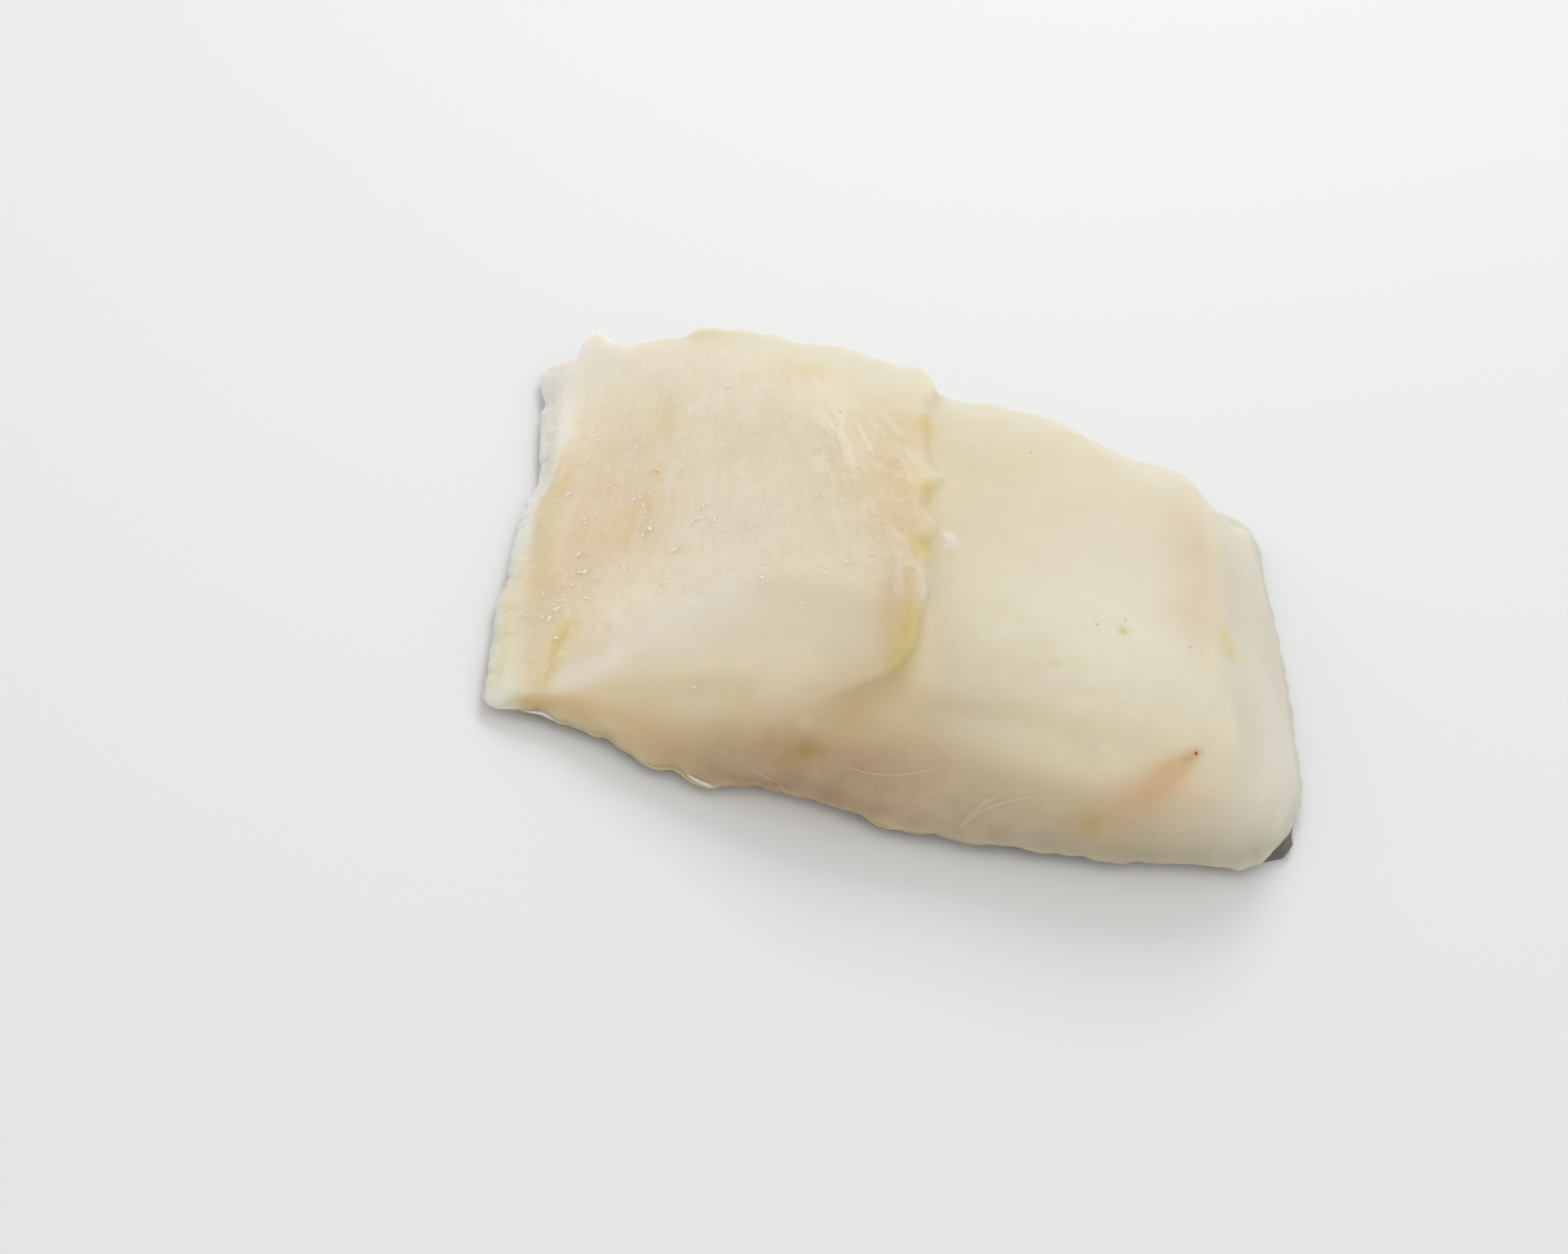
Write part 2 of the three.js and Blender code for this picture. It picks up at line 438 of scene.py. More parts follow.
def profile(places, pairs, soften=0.0):
    """How far out an edge is at these places along it, averaged over soften mm to each side."""
    where, how_far = zip(*sorted(pairs))
    shifts = np.linspace(-soften, soften, 9) if soften else [0.0]
    return np.mean([np.interp(places + shift, where, how_far) for shift in shifts], axis=0)


outward = normals * [1, 1, 0]
outward /= np.maximum(np.linalg.norm(outward, axis=1), 1e-6)[:, None]
print("the front edge bends by up to", max(abs(how_far) for _, how_far in FRONT_EDGE), "mm")

# %% Tear the thin end
THIN_END_DEPTH = (13, 7)  # the tearing starts this far in from the end, and is full this far in
RIM_SETBACK = 1.5

at_corner = ramp(points[:, 1], 43, 55) * (points[:, 0] < -45)
points[:, 1] += profile(points[:, 0], BACK_CORNER) * at_corner

from_end = points[:, 0] - low[0]
at_thin_end = ramp(from_end, *THIN_END_DEPTH) * ramp(points[:, 2], 7.5, 3.5)
rag = 0.35 * soft_noise(points, 3.1, 32) + 0.35 * soft_noise(points, 1.3, 33)
points += ((profile(points[:, 1], THIN_EDGE) + rag) * at_thin_end)[:, None] * outward

# The rim slopes: its upper edge stands back from its foot.
rim_slope = ramp(points[:, 2], 2.2, 6.0) * ramp(points[:, 0], low[0] + 12, low[0] + 4)
points[:, 0] += RIM_SETBACK * rim_slope
print("the thin end is torn by up to", round(float(np.abs(rag * at_thin_end).max()), 1), "mm")

# %% Tear the sides
# All round, the foot of the sides is ragged.
at_foot = ramp(points[:, 2], 5.0, 2.0)
foot_rag = 0.5 * soft_noise(points, 7, 34) + 0.45 * soft_noise(points, 2.4, 35) + 0.4
points += (foot_rag * at_foot * (1 - at_thin_end))[:, None] * outward

# Along the front, the broad bends reach high up the side, and the nicks only cut its lower edge.
broad = profile(points[:, 0], FRONT_EDGE, 7.0)
nicks = profile(points[:, 0], FRONT_EDGE, 0.8) - broad
front_shift = broad * ramp(points[:, 2], 14, 2) + nicks * ramp(points[:, 2], 5.5, 2.0)
points[:, 1] -= front_shift * ramp(points[:, 1], -20, -31)

# The back side bends over its whole height, above the skin.
at_back = ramp(normals[:, 1], 0.10, 0.50) * ramp(points[:, 2], 4, 9)
back_rag = 0.3 * soft_noise(points, 4.5, 36) + 0.2 * soft_noise(points, 2.0, 37)
points += ((profile(points[:, 0], BACK_EDGE, 1.2) + back_rag) * at_back)[:, None] * normals

# At the thick end, the front corner is drawn in above the skin, and the back one stands out.
front_corner = blob(points, np.array([72, -46, 1]), (9, 9, 11))
back_corner = blob(points, np.array([73, 42, 9]), (10, 22, 16))
points += front_corner[:, None] * [-2.5, 2.0, 0] + back_corner[:, None] * [1.5, -0.3, 0]
write_points(flesh.data, points)
print("the foot is torn by up to", round(float(np.abs(foot_rag).max()), 1), "mm")

# %% [markdown]
# ## Colour zones
#
# The flesh isn't one colour: blood, membrane, fat and the depth of the muscle each tint a part of it,
# and on some parts light and shade are painted in.
# The tints could be painted by hand on an image. Here each zone is a formula of place and direction,
# stored on the mesh as a number from 0 to 1. The material mixes its colour in by that number, broken
# up by noise so that no zone has a clean border.

# %% Soft shapes for the zones
points, normals = read_points(flesh.data)
top_facing = ramp(normals[:, 2], *LEVEL_ENOUGH)


def streak(places, width, start=0.0, end=1.0):
    """A soft band through places given in shares of the loin. Start and end are shares of its width."""
    distance, _, along = path_distance(points, np.array([at(*place) for place in places]))
    reach = width * (start + (end - start) * along)
    return np.exp(-((distance / np.maximum(reach, 0.05)) ** 2))


def spot(along, across, up, *radii):
    """A soft round patch at a place given in shares of the loin, with its radii in mm."""
    return blob(points, at(along, across, up), radii)


thin_end = ramp_along(points, 0.16, 0.09) * ramp(normals[:, 1], -0.75, -0.3)
facing_front = ramp(normals[:, 1], -0.35, -0.85)
facing_back = ramp(normals[:, 1], 0.2, 0.5)
ridge_distance, ridge_side, _ = path_distance(points * [1, 1, 0], RIDGE)
end_blend = 2.0 + 8 * ramp(points[:, 2], 25, 17)
on_end = ramp(ridge_distance * ridge_side, -end_blend, end_blend) * ramp(points[:, 0], 40, 48)
print("the slanting cut of the thick end has", int((on_end > 0.5).sum()), "points")

# %% [markdown]
# On the back side the walls between the flakes show as pale lines, one about every 7.6 mm. They slant
# up from the skin and fade out. As threads of their own they would look stitched on, so they are
# painted too.

# %% Walls between the flakes
FLAKE_SPACING = 7.6
FLAKE_LEAN = 0.5
WALL_HALF_WIDTH = 0.8
flake_place = points[:, 0] + FLAKE_LEAN * points[:, 2] + 2.0 * soft_noise(points, 14, 51)
past_wall = ((flake_place / FLAKE_SPACING + 0.5) % 1 - 0.5) * FLAKE_SPACING
flake_walls = np.exp(-((past_wall / WALL_HALF_WIDTH) ** 2)) * facing_back * ramp(points[:, 2], 20, 4)
print("walls:", int(np.ptp(flake_place) / FLAKE_SPACING))

# %% [markdown]
# The bevel was cut across the muscle. It is flushed pink and ochre towards the thin end, tan along
# the step, and whitest where its smooth front part turns up to the light.

# %% Zones of the bevel
zones = {
    "bevel": on_bevel,
    "bundles": bundles * on_bevel,
    "pink": (0.85 + 0.15 * soft_noise(fan_points, 2.6, 62)) * (
        spot(0.109, 0.588, 0.21, 11, 17, 20)
        + spot(0.069, 0.388, 0.16, 7, 13, 20)
        + spot(0.161, 0.506, 0.33, 9, 12, 20)
    ),
    "ochre": spot(0.189, 0.741, 0.43, 2.6, 7.0, 9)
    + spot(0.161, 0.506, 0.33, 3.4, 7.5, 9)
    + spot(0.182, 0.608, 0.39, 1.6, 2.0, 9)
    + spot(0.074, 0.628, 0.16, 1.8, 6.0, 9)
    + spot(0.353, 0.777, 0.87, 6.0, 5.0, 9),
    "bevel_right": on_bevel * (
        spot(0.450, 0.74, 0.9, 9, 24, 30)
        + spot(0.470, 0.42, 0.9, 5, 16, 30)
        + spot(0.460, 0.60, 0.9, 6, 9, 30)
    ),
    "bevel_top": spot(0.395, 0.53, 0.94, 8, 20, 14) + 0.4 * spot(0.300, 0.64, 0.78, 7, 9, 12),
    "left_tan": spot(0.104, 0.264, 0.206, 4.5, 6, 8)
    + spot(0.078, 0.341, 0.165, 3, 7, 6)
    + spot(0.102, 0.470, 0.21, 4.5, 14, 8)
    + 0.6 * spot(0.145, 0.70, 0.29, 8, 14, 10),
    "white_top": spot(0.300, 0.417, 0.71, 9, 15, 20)
    + spot(0.240, 0.225, 0.49, 13, 7, 20)
    + spot(0.350, 0.205, 0.72, 12, 7, 20)
    + 0.4 * spot(0.387, 0.371, 0.91, 7, 8, 20),
    "spur_white": streak([
        (0.070, 0.144, 0.14), (0.190, 0.271, 0.38), (0.255, 0.300, 0.57),
    ], 4.6, 0.7, 1.3),
    # Painted shade, tinted tan, where the bevel turns down into the front side.
    "ridge_painted_shade": streak([
        (0.085, 0.150, 0.17), (0.119, 0.153, 0.215), (0.173, 0.153, 0.31),
        (0.225, 0.148, 0.41), (0.290, 0.130, 0.49),
    ], 2.6, 0.7, 1.2),
    "membrane": membrane,
}
print("zones of the bevel:", len(zones))

# %% [markdown]
# Fat gathers in the corner under the step, as mustard-yellow spots in a tan halo. The lip above it is
# paler. The flesh just past it is painted lighter, as light against the shade of the step, and under
# the lip lies a band of painted shadow, tinted olive tan.

# %% Zones along the edge of the flake
zones |= {
    "halo": ramp(from_edge, 3.5, -1.0) * (
        spot(0.470, 0.660, 0.92, 7.5, 8.0, 9)
        + spot(0.458, 0.500, 0.99, 7.5, 8.0, 9)
        + spot(0.456, 0.390, 0.99, 6.5, 6.0, 9)
        + spot(0.454, 0.270, 0.95, 4.0, 6.0, 9)
        + spot(0.448, 0.205, 0.87, 4.0, 5.0, 9)
    ),
    "spots": spot(0.494, 0.668, 0.90, 1.7, 2.4, 6)
    + spot(0.485, 0.490, 0.98, 1.7, 3.0, 6)
    + spot(0.479, 0.355, 0.99, 2.4, 2.8, 6)
    + spot(0.464, 0.205, 0.88, 2.2, 5.4, 6)
    + spot(0.453, 0.158, 0.80, 2.4, 2.2, 5),
    "lobe_low": spot(0.346, 0.153, 0.646, 9, 5, 6)
    + spot(0.289, 0.150, 0.519, 9, 5, 6)
    + 0.8 * spot(0.225, 0.140, 0.42, 8, 4.5, 6),
    "lip_low": spot(0.478, 0.150, 0.80, 5, 7, 9),
    # Painted light on the flesh just past the lip.
    "lip_right_painted_light": ramp(from_edge, 0.0, 1.5) * streak([
        (0.485, 0.36, 0.95), (0.488, 0.22, 0.87), (0.485, 0.125, 0.74), (0.455, 0.09, 0.62),
    ], 4.5),
    # Painted shadow under the lip, tinted olive tan.
    "under_lip_shade": ramp(from_edge, -0.6, 1.2) * streak([
        (0.452, 0.132, 0.75), (0.436, 0.116, 0.68), (0.405, 0.099, 0.59),
    ], 3.4, 0.7, 1.1),
    "right_tan": top_facing * ramp_along(points, 0.76, 0.52) * ramp(from_edge, -1, 1.5),
}
print("and with the flake's edge:", len(zones))

# %% [markdown]
# The top is cream, with painted light at the front of its thick half and on its shoulder. Below that
# the side is tinted tan, and painted shade darkens it to a dull mauve brown in the middle and a darker
# brown near the skin. At its foot the painted shade is greyer.

# %% Zones of the top, the shoulder and the front side
zones |= {
    "cream_back": ramp(points[:, 1], 15, 50) * top_facing,
    "right_white": spot(0.710, 0.40, 0.97, 22, 15, 20),
    # Painted light on the front part of the top of the thick half.
    "front_painted_light": top_facing * ramp(points[:, 1], 0, -30) * ramp(normals[:, 1], -0.80, -0.50)
    * ramp_along(points, 0.45, 0.55),
    # Painted light on the front shoulder of the thick half.
    "shoulder_painted_light": ramp(normals[:, 1], -0.30, -0.60) * ramp(points[:, 2], 14, 20)
    * ramp_along(points, 0.47, 0.68),
    # Painted shade, tinted tan, where the front shoulder of the thin half turns down.
    "shoulder_painted_shade": ramp(normals[:, 1], -0.20, -0.60) * ramp(points[:, 1], -32, -42)
    * ramp_along(points, 0.50, 0.36) * ramp_along(points, 0.06, 0.12),
    # The next two zones tint the side facing the front tan and paint shade on it, deeper lower down.
    "front_side_tan_and_shade": facing_front * ramp(points[:, 2], 24, 12),
    "front_tan_and_shade": facing_front * ramp_along(points, 0.62, 0.35),
    # Painted shade, mauve brown, in the middle of the front side.
    "front_mauve_shade": facing_front * spot(0.42, 0.03, 0.25, 24, 14, 10),
    # Painted shade, darkest near the skin, on the left and middle of the front side.
    "front_painted_shade": facing_front * (0.5 * ramp(points[:, 2], 19, 9) + 0.5 * ramp(points[:, 2], 9, 2))
    * ramp(points[:, 0], -54, -30) * (1 - 0.5 * ramp(points[:, 0], 42, 62))
    * (1 - 0.3 * blob(points, np.array([2, -52, 10]), (16, 20, 14))),
    "front_end": facing_front * ramp_along(points, 0.68, 0.88),
    # Painted shade, greyer, at the foot of the front side in the thick half.
    "front_foot_shade": facing_front * ramp(points[:, 2], 13, 3) * ramp(points[:, 0], 5, 18),
    "near_skin": ramp(points[:, 2], 7.0, 2.5) * ramp(points[:, 0], -10, 25),
    "corner_pale": spot(0.90, 0.088, 0.50, 7, 7, 9),
}
print("and with the top and the front side:", len(zones))

# %% [markdown]
# The slanting cut of the thick end is cooler and greyer than the top, with a tan flush along its
# ridge. The rim of the thin end is nearly white, because the flesh there is thin and torn, and it is
# painted whiter still as light on its wall, which faces away from the lamp.

# %% Zones of the two ends and the back side
zones |= {
    "end_face": on_end,
    "end_rim": on_end * ramp(points[:, 2], 7.0, 3.5),
    "end_low": on_end * ramp(points[:, 1], -12, -34),
    "end_top": on_end * ramp(points[:, 1], 0, 30),
    "ridge_flush": spot(0.820, 0.460, 0.94, 5.0, 16, 9) + spot(0.810, 0.310, 0.94, 6.5, 7, 9),
    "ridge_spot": streak([
        (0.840, 0.288, 0.92), (0.844, 0.270, 0.91), (0.847, 0.254, 0.90),
    ], 1.7, 0.7, 1.0),
    "back_side": ramp(normals[:, 1], 0.08, 0.50),
    "back_fringe": ramp(normals[:, 1], 0.10, 0.35),
    "flake_walls": flake_walls,
    # Pale rim, painted whiter still as light on its wall, which faces away from the lamp.
    "rim": ramp(points[:, 2] - 2.5 * ramp(points[:, 1], 8, 30), 4.8, 3.5) * thin_end,
    "rim_front": ramp(points[:, 2], 5.0, 3.7) * thin_end * ramp(points[:, 1], 2, -12),
    "rim_tint": np.exp(-(((points[:, 0] - low[0] - 8.5) / 2.6) ** 2)) * top_facing * (points[:, 2] < 12),
    "tip": spot(0.026, 0.150, 0.10, 3.0, 3.4, 5),
    "flap": spot(0.085, 0.937, 0.17, 7, 7, 6)
    + spot(0.051, 0.889, 0.06, 5, 8, 6)
    + spot(0.100, 0.99, 0.15, 5.5, 8, 9),
}
print("and with the ends and the back side:", len(zones))

# %% [markdown]
# Last come the small marks: straw-yellow fat in the split of the thin end, a brown spot, two olive
# specks, and a streak of blood that is darkest at its upper tip.

# %% Zones of fat, blood and stains
zones |= {
    "straw": streak([
        (0.092, 0.292, 0.19), (0.079, 0.244, 0.175), (0.070, 0.166, 0.16),
    ], 2.4, 0.8, 0.6),
    "mustard": spot(0.060, 0.136, 0.065, 2.8, 3.5, 1.1),
    "brown": spot(0.370, 0.053, 0.38, 2.6, 2.4, 2.0) + 0.5 * spot(0.352, 0.045, 0.26, 3, 3, 3),
    "speck_halo": spot(0.716, 0.255, 0.93, 1.3, 1.3, 6) + 0.6 * spot(0.634, 0.175, 0.9, 1.6, 1.0, 6),
    "olive": spot(0.716, 0.255, 0.93, 0.7, 0.6, 3) + 0.15 * spot(0.634, 0.175, 0.9, 0.8, 0.5, 3),
    "blood": ramp_along(points, 0.68, 0.78) * streak([
        (0.806, 0.078, 0.71), (0.764, 0.048, 0.55), (0.710, 0.020, 0.34),
    ], 7.5, 0.15, 0.8) + 0.35 * spot(0.800, 0.045, 0.53, 6.5, 5.5, 5),
    "blood_dash": streak([
        (0.822, 0.086, 0.73), (0.806, 0.078, 0.71), (0.789, 0.067, 0.67),
    ], 0.55, 0.6, 0.6),
    "blood_end": spot(0.699, 0.013, 0.28, 3, 3, 2.6),
}
for name, values in zones.items():
    paint(flesh.data, name, values)
flesh.data.shade_smooth()
print("zones in all:", len(zones))

# %% [markdown]
# ## Finding the surface
#
# Small things that lie on the flesh have to follow its relief. A Shrinkwrap modifier could pull them
# onto it, but it would flatten them. A BVH tree answers two questions fast, before they are made: which
# point of the surface is nearest, and where a straight line meets it.

# %% Surface finder
bm = bmesh.new()
bm.from_mesh(flesh.data)
flesh_tree = BVHTree.FromBMesh(bm)
bm.free()


def nearest(place):
    """The nearest point of the flesh to a place in mm, and the normal there."""
    point, normal, _, _ = flesh_tree.find_nearest(Vector(place * MM))
    return np.array(point) / MM, np.array(normal)


def straight_down(x, y):
    """Where a line straight down at x, y (mm) meets the flesh, and the normal there, or None."""
    point, normal, _, _ = flesh_tree.ray_cast(Vector((x * MM, y * MM, 1.0)), Vector((0, 0, -1)))
    return None if point is None else (np.array(point) / MM, np.array(normal))


def from_front(x, z):
    """Where a level line from the front, at x, z (mm), meets the flesh."""
    point, _, _, _ = flesh_tree.ray_cast(Vector((x * MM, -1.0, z * MM)), Vector((0, 1, 0)))
    return np.array(point) / MM


def new_piece(name, verts, faces):
    """A new object from points in mm and faces."""
    mesh = bpy.data.meshes.new(name)
    mesh.from_pydata((np.array(verts) * MM).tolist(), [], faces)
    mesh.validate()
    mesh.shade_smooth()
    piece = bpy.data.objects.new(name, mesh)
    bpy.context.scene.collection.objects.link(piece)
    return piece


print("top of the loin:", np.round(straight_down(0, 0)[0], 1))

# %% [markdown]
# ## The skin
#
# Cod skin is thin, tough and finely scaled. It isn't a flat card: it shrinks and puckers at its cut
# edge. The solid's own mesh has points only on its outline, so it can't bend. Rings drawn in from that
# outline towards the middle give one that can.

# %% Sheets from a loop
def even_loop(loop, spacing):
    """The same closed line with its points evenly spaced."""
    closed = np.vstack([loop, loop[:1]])
    length = np.concatenate([[0], np.cumsum(np.linalg.norm(np.diff(closed, axis=0), axis=1))])
    wanted = np.linspace(0, length[-1], int(length[-1] / spacing), endpoint=False)
    return np.stack([np.interp(wanted, length, closed[:, i]) for i in range(2)], axis=1)


def sheet_from_loop(name, loop, middle, bottom, top, rings):
    """A closed sheet: rings from the middle out to the loop on its underside, and back on its top."""
    count = len(loop)
    shares = np.linspace(0, 1, rings + 1)[1:]
    layers = []
    for height in (bottom, top):
        for share in shares:
            ring = middle + (loop - middle) * share
            layers.append(np.column_stack([ring, np.full(count, height)]))
    verts = np.vstack(layers + [[[*middle, bottom], [*middle, top]]])
    under, over = len(verts) - 2, len(verts) - 1
    faces = []
    for i in range(count):
        j = (i + 1) % count
        for ring in range(rings - 1):
            a, b = ring * count, (ring + 1) * count
            faces.append((a + j, a + i, b + i, b + j))
            a, b = a + rings * count, b + rings * count
            faces.append((a + i, a + j, b + j, b + i))
        rim_low, rim_high = (rings - 1) * count, (2 * rings - 1) * count
        faces.append((rim_low + j, rim_low + i, rim_high + i, rim_high + j))
        faces.append((under, j, i))
        faces.append((over, rings * count + i, rings * count + j))
    return new_piece(name, verts, faces)


def corner_patch(points, direction, radii):
    """A soft patch of radii in mm round the point that lies furthest in a direction."""
    return blob(points, points[np.argmax(points @ direction)], radii)


# %% Skin mesh
SKIN_RINGS = 40
OUTLINE_SPACING = 0.9
CORNER_TORN_OFF = 4.5
CORNER_SHIFT = [-1.3, 0.65, 0]
BACK_DRAWN_IN = 2.5
# How far the front edge draws in, as pairs: where along it, and by how much, both in mm
SKIN_FRONT = [(-70, 0.0), (-62, 2.0), (-50, 2.2), (-46, 0.0), (-33, 0.0), (-28, 1.8), (-12, 1.8), (-7, 0.0)]

skin_points, _ = read_points(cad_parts["skin"].data)
skin_top = skin_points[:, 2].max()
skin_middle = (skin_points.min(axis=0) + skin_points.max(axis=0))[:2] / 2
lower_points = skin_points[skin_points[:, 2] < skin_top / 2][:, :2]
outline = np.unique(np.round(lower_points, 3), axis=0)
outline_angle = np.arctan2(outline[:, 1] - skin_middle[1], outline[:, 0] - skin_middle[0])
outline = even_loop(outline[np.argsort(outline_angle)], OUTLINE_SPACING)

skin = sheet_from_loop("loin_skin", outline, skin_middle, 0.0, skin_top, SKIN_RINGS)
skin_points, _ = read_points(skin.data)
from_middle = skin_points[:, :2] - skin_middle
skin_radius = np.linalg.norm(from_middle, axis=1)
thin_corner = corner_patch(skin_points, [-1, 1, 0], (14, 8, 5))
pucker = 0.45 * soft_noise(skin_points, 8, 41) + 0.35 * soft_noise(skin_points, 2.6, 42)
pucker = pucker * ramp(skin_radius, 35, 60) - CORNER_TORN_OFF * thin_corner
skin_points[:, :2] += pucker[:, None] * from_middle / np.maximum(skin_radius, 1e-6)[:, None]
skin_points += corner_patch(skin_points, [1, -1, 0], (14, 12, 5))[:, None] * CORNER_SHIFT
by_thin_back = ramp(skin_points[:, 1], 42, 54) * ramp(skin_points[:, 0], -30, -44)
skin_points[:, 1] -= BACK_DRAWN_IN * by_thin_back
skin_points[:, 1] += profile(skin_points[:, 0], SKIN_FRONT) * ramp(skin_points[:, 1], -20, -45)
write_points(skin.data, skin_points)
print("skin faces:", len(skin.data.polygons))

# %% [markdown]
# ## Threads of connective tissue
#
# Thin white walls of connective tissue part the flakes. Where a cut meets one, it shows as a fine
# white line. On the front side only a few short ones show. A curve with a bevel would make such a
# line, but round. Here each is a flat tapered tube that follows the surface and sits half sunk in it.

# %% Threads
THREAD_SIDES = 6
THREAD_STEP = 0.8
THREAD_TIP = 0.1


def smooth_path(path, spacing):
    """Points about spacing mm apart on a smooth curve through the points of a path."""
    path = np.array(path)
    ends = np.vstack([2 * path[0] - path[1], path, 2 * path[-1] - path[-2]])
    curve = []
    for i in range(1, len(ends) - 2):
        before, start, stop, after = ends[i - 1:i + 3]
        steps = max(int(np.linalg.norm(stop - start) / spacing), 2)
        for t in np.linspace(0, 1, steps, endpoint=False):
            curve.append(0.5 * (
                2 * start
                + (stop - before) * t
                + (2 * before - 5 * start + 4 * stop - after) * t ** 2
                + (3 * start - before - 3 * stop + after) * t ** 3
            ))
    curve.append(path[-1])
    return np.array(curve)


def thread_taper(from_tip):
    """How wide a thread is at a share of its length from a tip, as a share of its full width."""
    return THREAD_TIP + (1 - THREAD_TIP) * min(from_tip / 0.3, 1)


def add_thread(verts, faces, path, width, height):
    """Adds a tapered tube along a path on the flesh."""
    curve = smooth_path(path, THREAD_STEP)
    placed = [nearest(point) for point in curve]
    centres = np.array([point for point, _ in placed])
    run = np.gradient(centres, axis=0)
    first = len(verts)
    for i, (centre, normal) in enumerate(placed):
        along = i / (len(placed) - 1)
        taper = thread_taper(along) * thread_taper(1 - along)
        side = np.cross(run[i], normal)
        side /= max(np.linalg.norm(side), 1e-6)
        for k in range(THREAD_SIDES):
            turn = 2 * math.pi * k / THREAD_SIDES
            sideways = side * math.cos(turn) * width / 2
            verts.append(centre + (sideways + normal * math.sin(turn) * height) * taper)
    rings = len(placed)
    for i in range(rings - 1):
        for k in range(THREAD_SIDES):
            a, b = first + i * THREAD_SIDES, first + (i + 1) * THREAD_SIDES
            n = (k + 1) % THREAD_SIDES
            faces.append((a + k, a + n, b + n, b + k))
    faces.append(tuple(first + k for k in reversed(range(THREAD_SIDES))))
    faces.append(tuple(first + (rings - 1) * THREAD_SIDES + k for k in range(THREAD_SIDES)))


# Each thread is its path, in shares of the loin, and its width and height in mm.
FRONT_THREADS = [
    ([
        (0.393, 0.044, 0.356), (0.430, 0.034, 0.34), (0.461, 0.031, 0.355),
        (0.494, 0.034, 0.40), (0.523, 0.045, 0.47),
    ], 0.6, 0.03),
    ([(0.556, 0.006, 0.10), (0.563, 0.009, 0.19), (0.576, 0.016, 0.30), (0.590, 0.022, 0.36)], 1.7, 0.04),
    ([(0.560, 0.006, 0.12), (0.572, 0.010, 0.22), (0.590, 0.018, 0.30), (0.640, 0.028, 0.41)], 1.0, 0.04),
    ([(0.300, 0.052, 0.22), (0.330, 0.038, 0.12), (0.357, 0.031, 0.06)], 0.6, 0.02),
]
# Two white slivers lie on the lowest edge of the flesh.
WHITE_SLIVERS = [
    ([(0.236, 0.046, 0.03), (0.256, 0.038, 0.025), (0.278, 0.028, 0.02)], 0.8, 0.3),
    ([(0.055, 0.135, 0.01), (0.070, 0.130, 0.01), (0.086, 0.125, 0.01)], 0.7, 0.25),
]
# Straw-coloured fibres lie side by side in a split of the bevel.
STRAW_FIBRES = [
    ([(0.092, 0.292, 0.19), (0.079, 0.244, 0.175), (0.077, 0.205, 0.17)], 0.55, 0.08),
    ([(0.087, 0.232, 0.175), (0.083, 0.208, 0.174), (0.080, 0.186, 0.17)], 0.55, 0.08),
    ([(0.078, 0.212, 0.17), (0.073, 0.188, 0.165), (0.069, 0.164, 0.16)], 0.40, 0.06),
]


def thread_piece(name, threads):
    """One object of several threads, each a path, a width and a height."""
    verts, faces = [], []
    for places, width, height in threads:
        add_thread(verts, faces, [at(*place) for place in places], width, height)
    return new_piece(name, verts, faces)


threads = thread_piece("tissue_threads", FRONT_THREADS)
straws = thread_piece("straw_fibres", STRAW_FIBRES)
slivers = thread_piece("white_slivers", WHITE_SLIVERS)
print("threads:", len(FRONT_THREADS) + len(STRAW_FIBRES) + len(WHITE_SLIVERS))

# %% [markdown]
# ## The thin lower edge
#
# Along the front, the lowest millimetre of flesh thins out to a wavy, see-through edge that stands
# out a little over the skin. Drawn out of the flesh's own mesh it would be as solid as the rest, so it
# is a strip of its own. Its inner side is sunk in the flesh, which hides the seam.

# %% Points of the lower edge
STRIP_STEP = 0.6
STRIP_THICKNESS = 0.4
STRIP_HEIGHT = 2.2
STRIP_FADE = 8  # the steps over which it tapers off at each end
# Where along the loin, as a share of its length, and how much of the strip shows there
EDGE_REACH = [
    (0.05, 0.8), (0.26, 0.9), (0.285, 0.0), (0.44, 0.0),
    (0.48, 0.9), (0.63, 0.7), (0.67, 0.0), (0.93, 0.0),
]
# From its root in the flesh to its tip: how far out (mm at the root, else a share), how far down and
# how thick, as shares
STRIP_SECTION = [(-1.6, 0.0, 1.0), (0.0, 0.1, 1.0), (0.6, 0.6, 0.7), (1.0, 1.0, 0.25)]

edge_places = [at(share, 0)[0] for share, _ in EDGE_REACH]
strip_x = np.arange(edge_places[0], edge_places[-1], STRIP_STEP)
foot = np.array([from_front(x, STRIP_HEIGHT) for x in strip_x])
still = np.zeros(len(strip_x))
wave_points = np.stack([strip_x, still, still], axis=1)
shown = np.interp(strip_x, edge_places, [size for _, size in EDGE_REACH])
steps = np.arange(len(strip_x))
reach = 0.5 + 0.45 * soft_noise(wave_points, 5, 71) + 0.35 * soft_noise(wave_points, 1.9, 72)
reach *= shown * ramp(steps, 0, STRIP_FADE) * ramp(steps, steps[-1], steps[-1] - STRIP_FADE)
droop = 0.35 + 0.25 * soft_noise(wave_points, 4, 73)
strip_verts = []
for i, (x, foot_y, foot_z) in enumerate(foot):
    drawn_in = 1.4 * max(0.5 - shown[i], 0)
    for out, drop, thickness in STRIP_SECTION:
        stands_out = out if out < 0 else out * max(reach[i], 0.05)
        half = thickness * STRIP_THICKNESS / 2
        for side in (half, -half):
            strip_verts.append((x, foot_y - stands_out + drawn_in, foot_z - drop * droop[i] + side))
print("lower edge reaches out up to", round(float(reach.max()), 1), "mm")

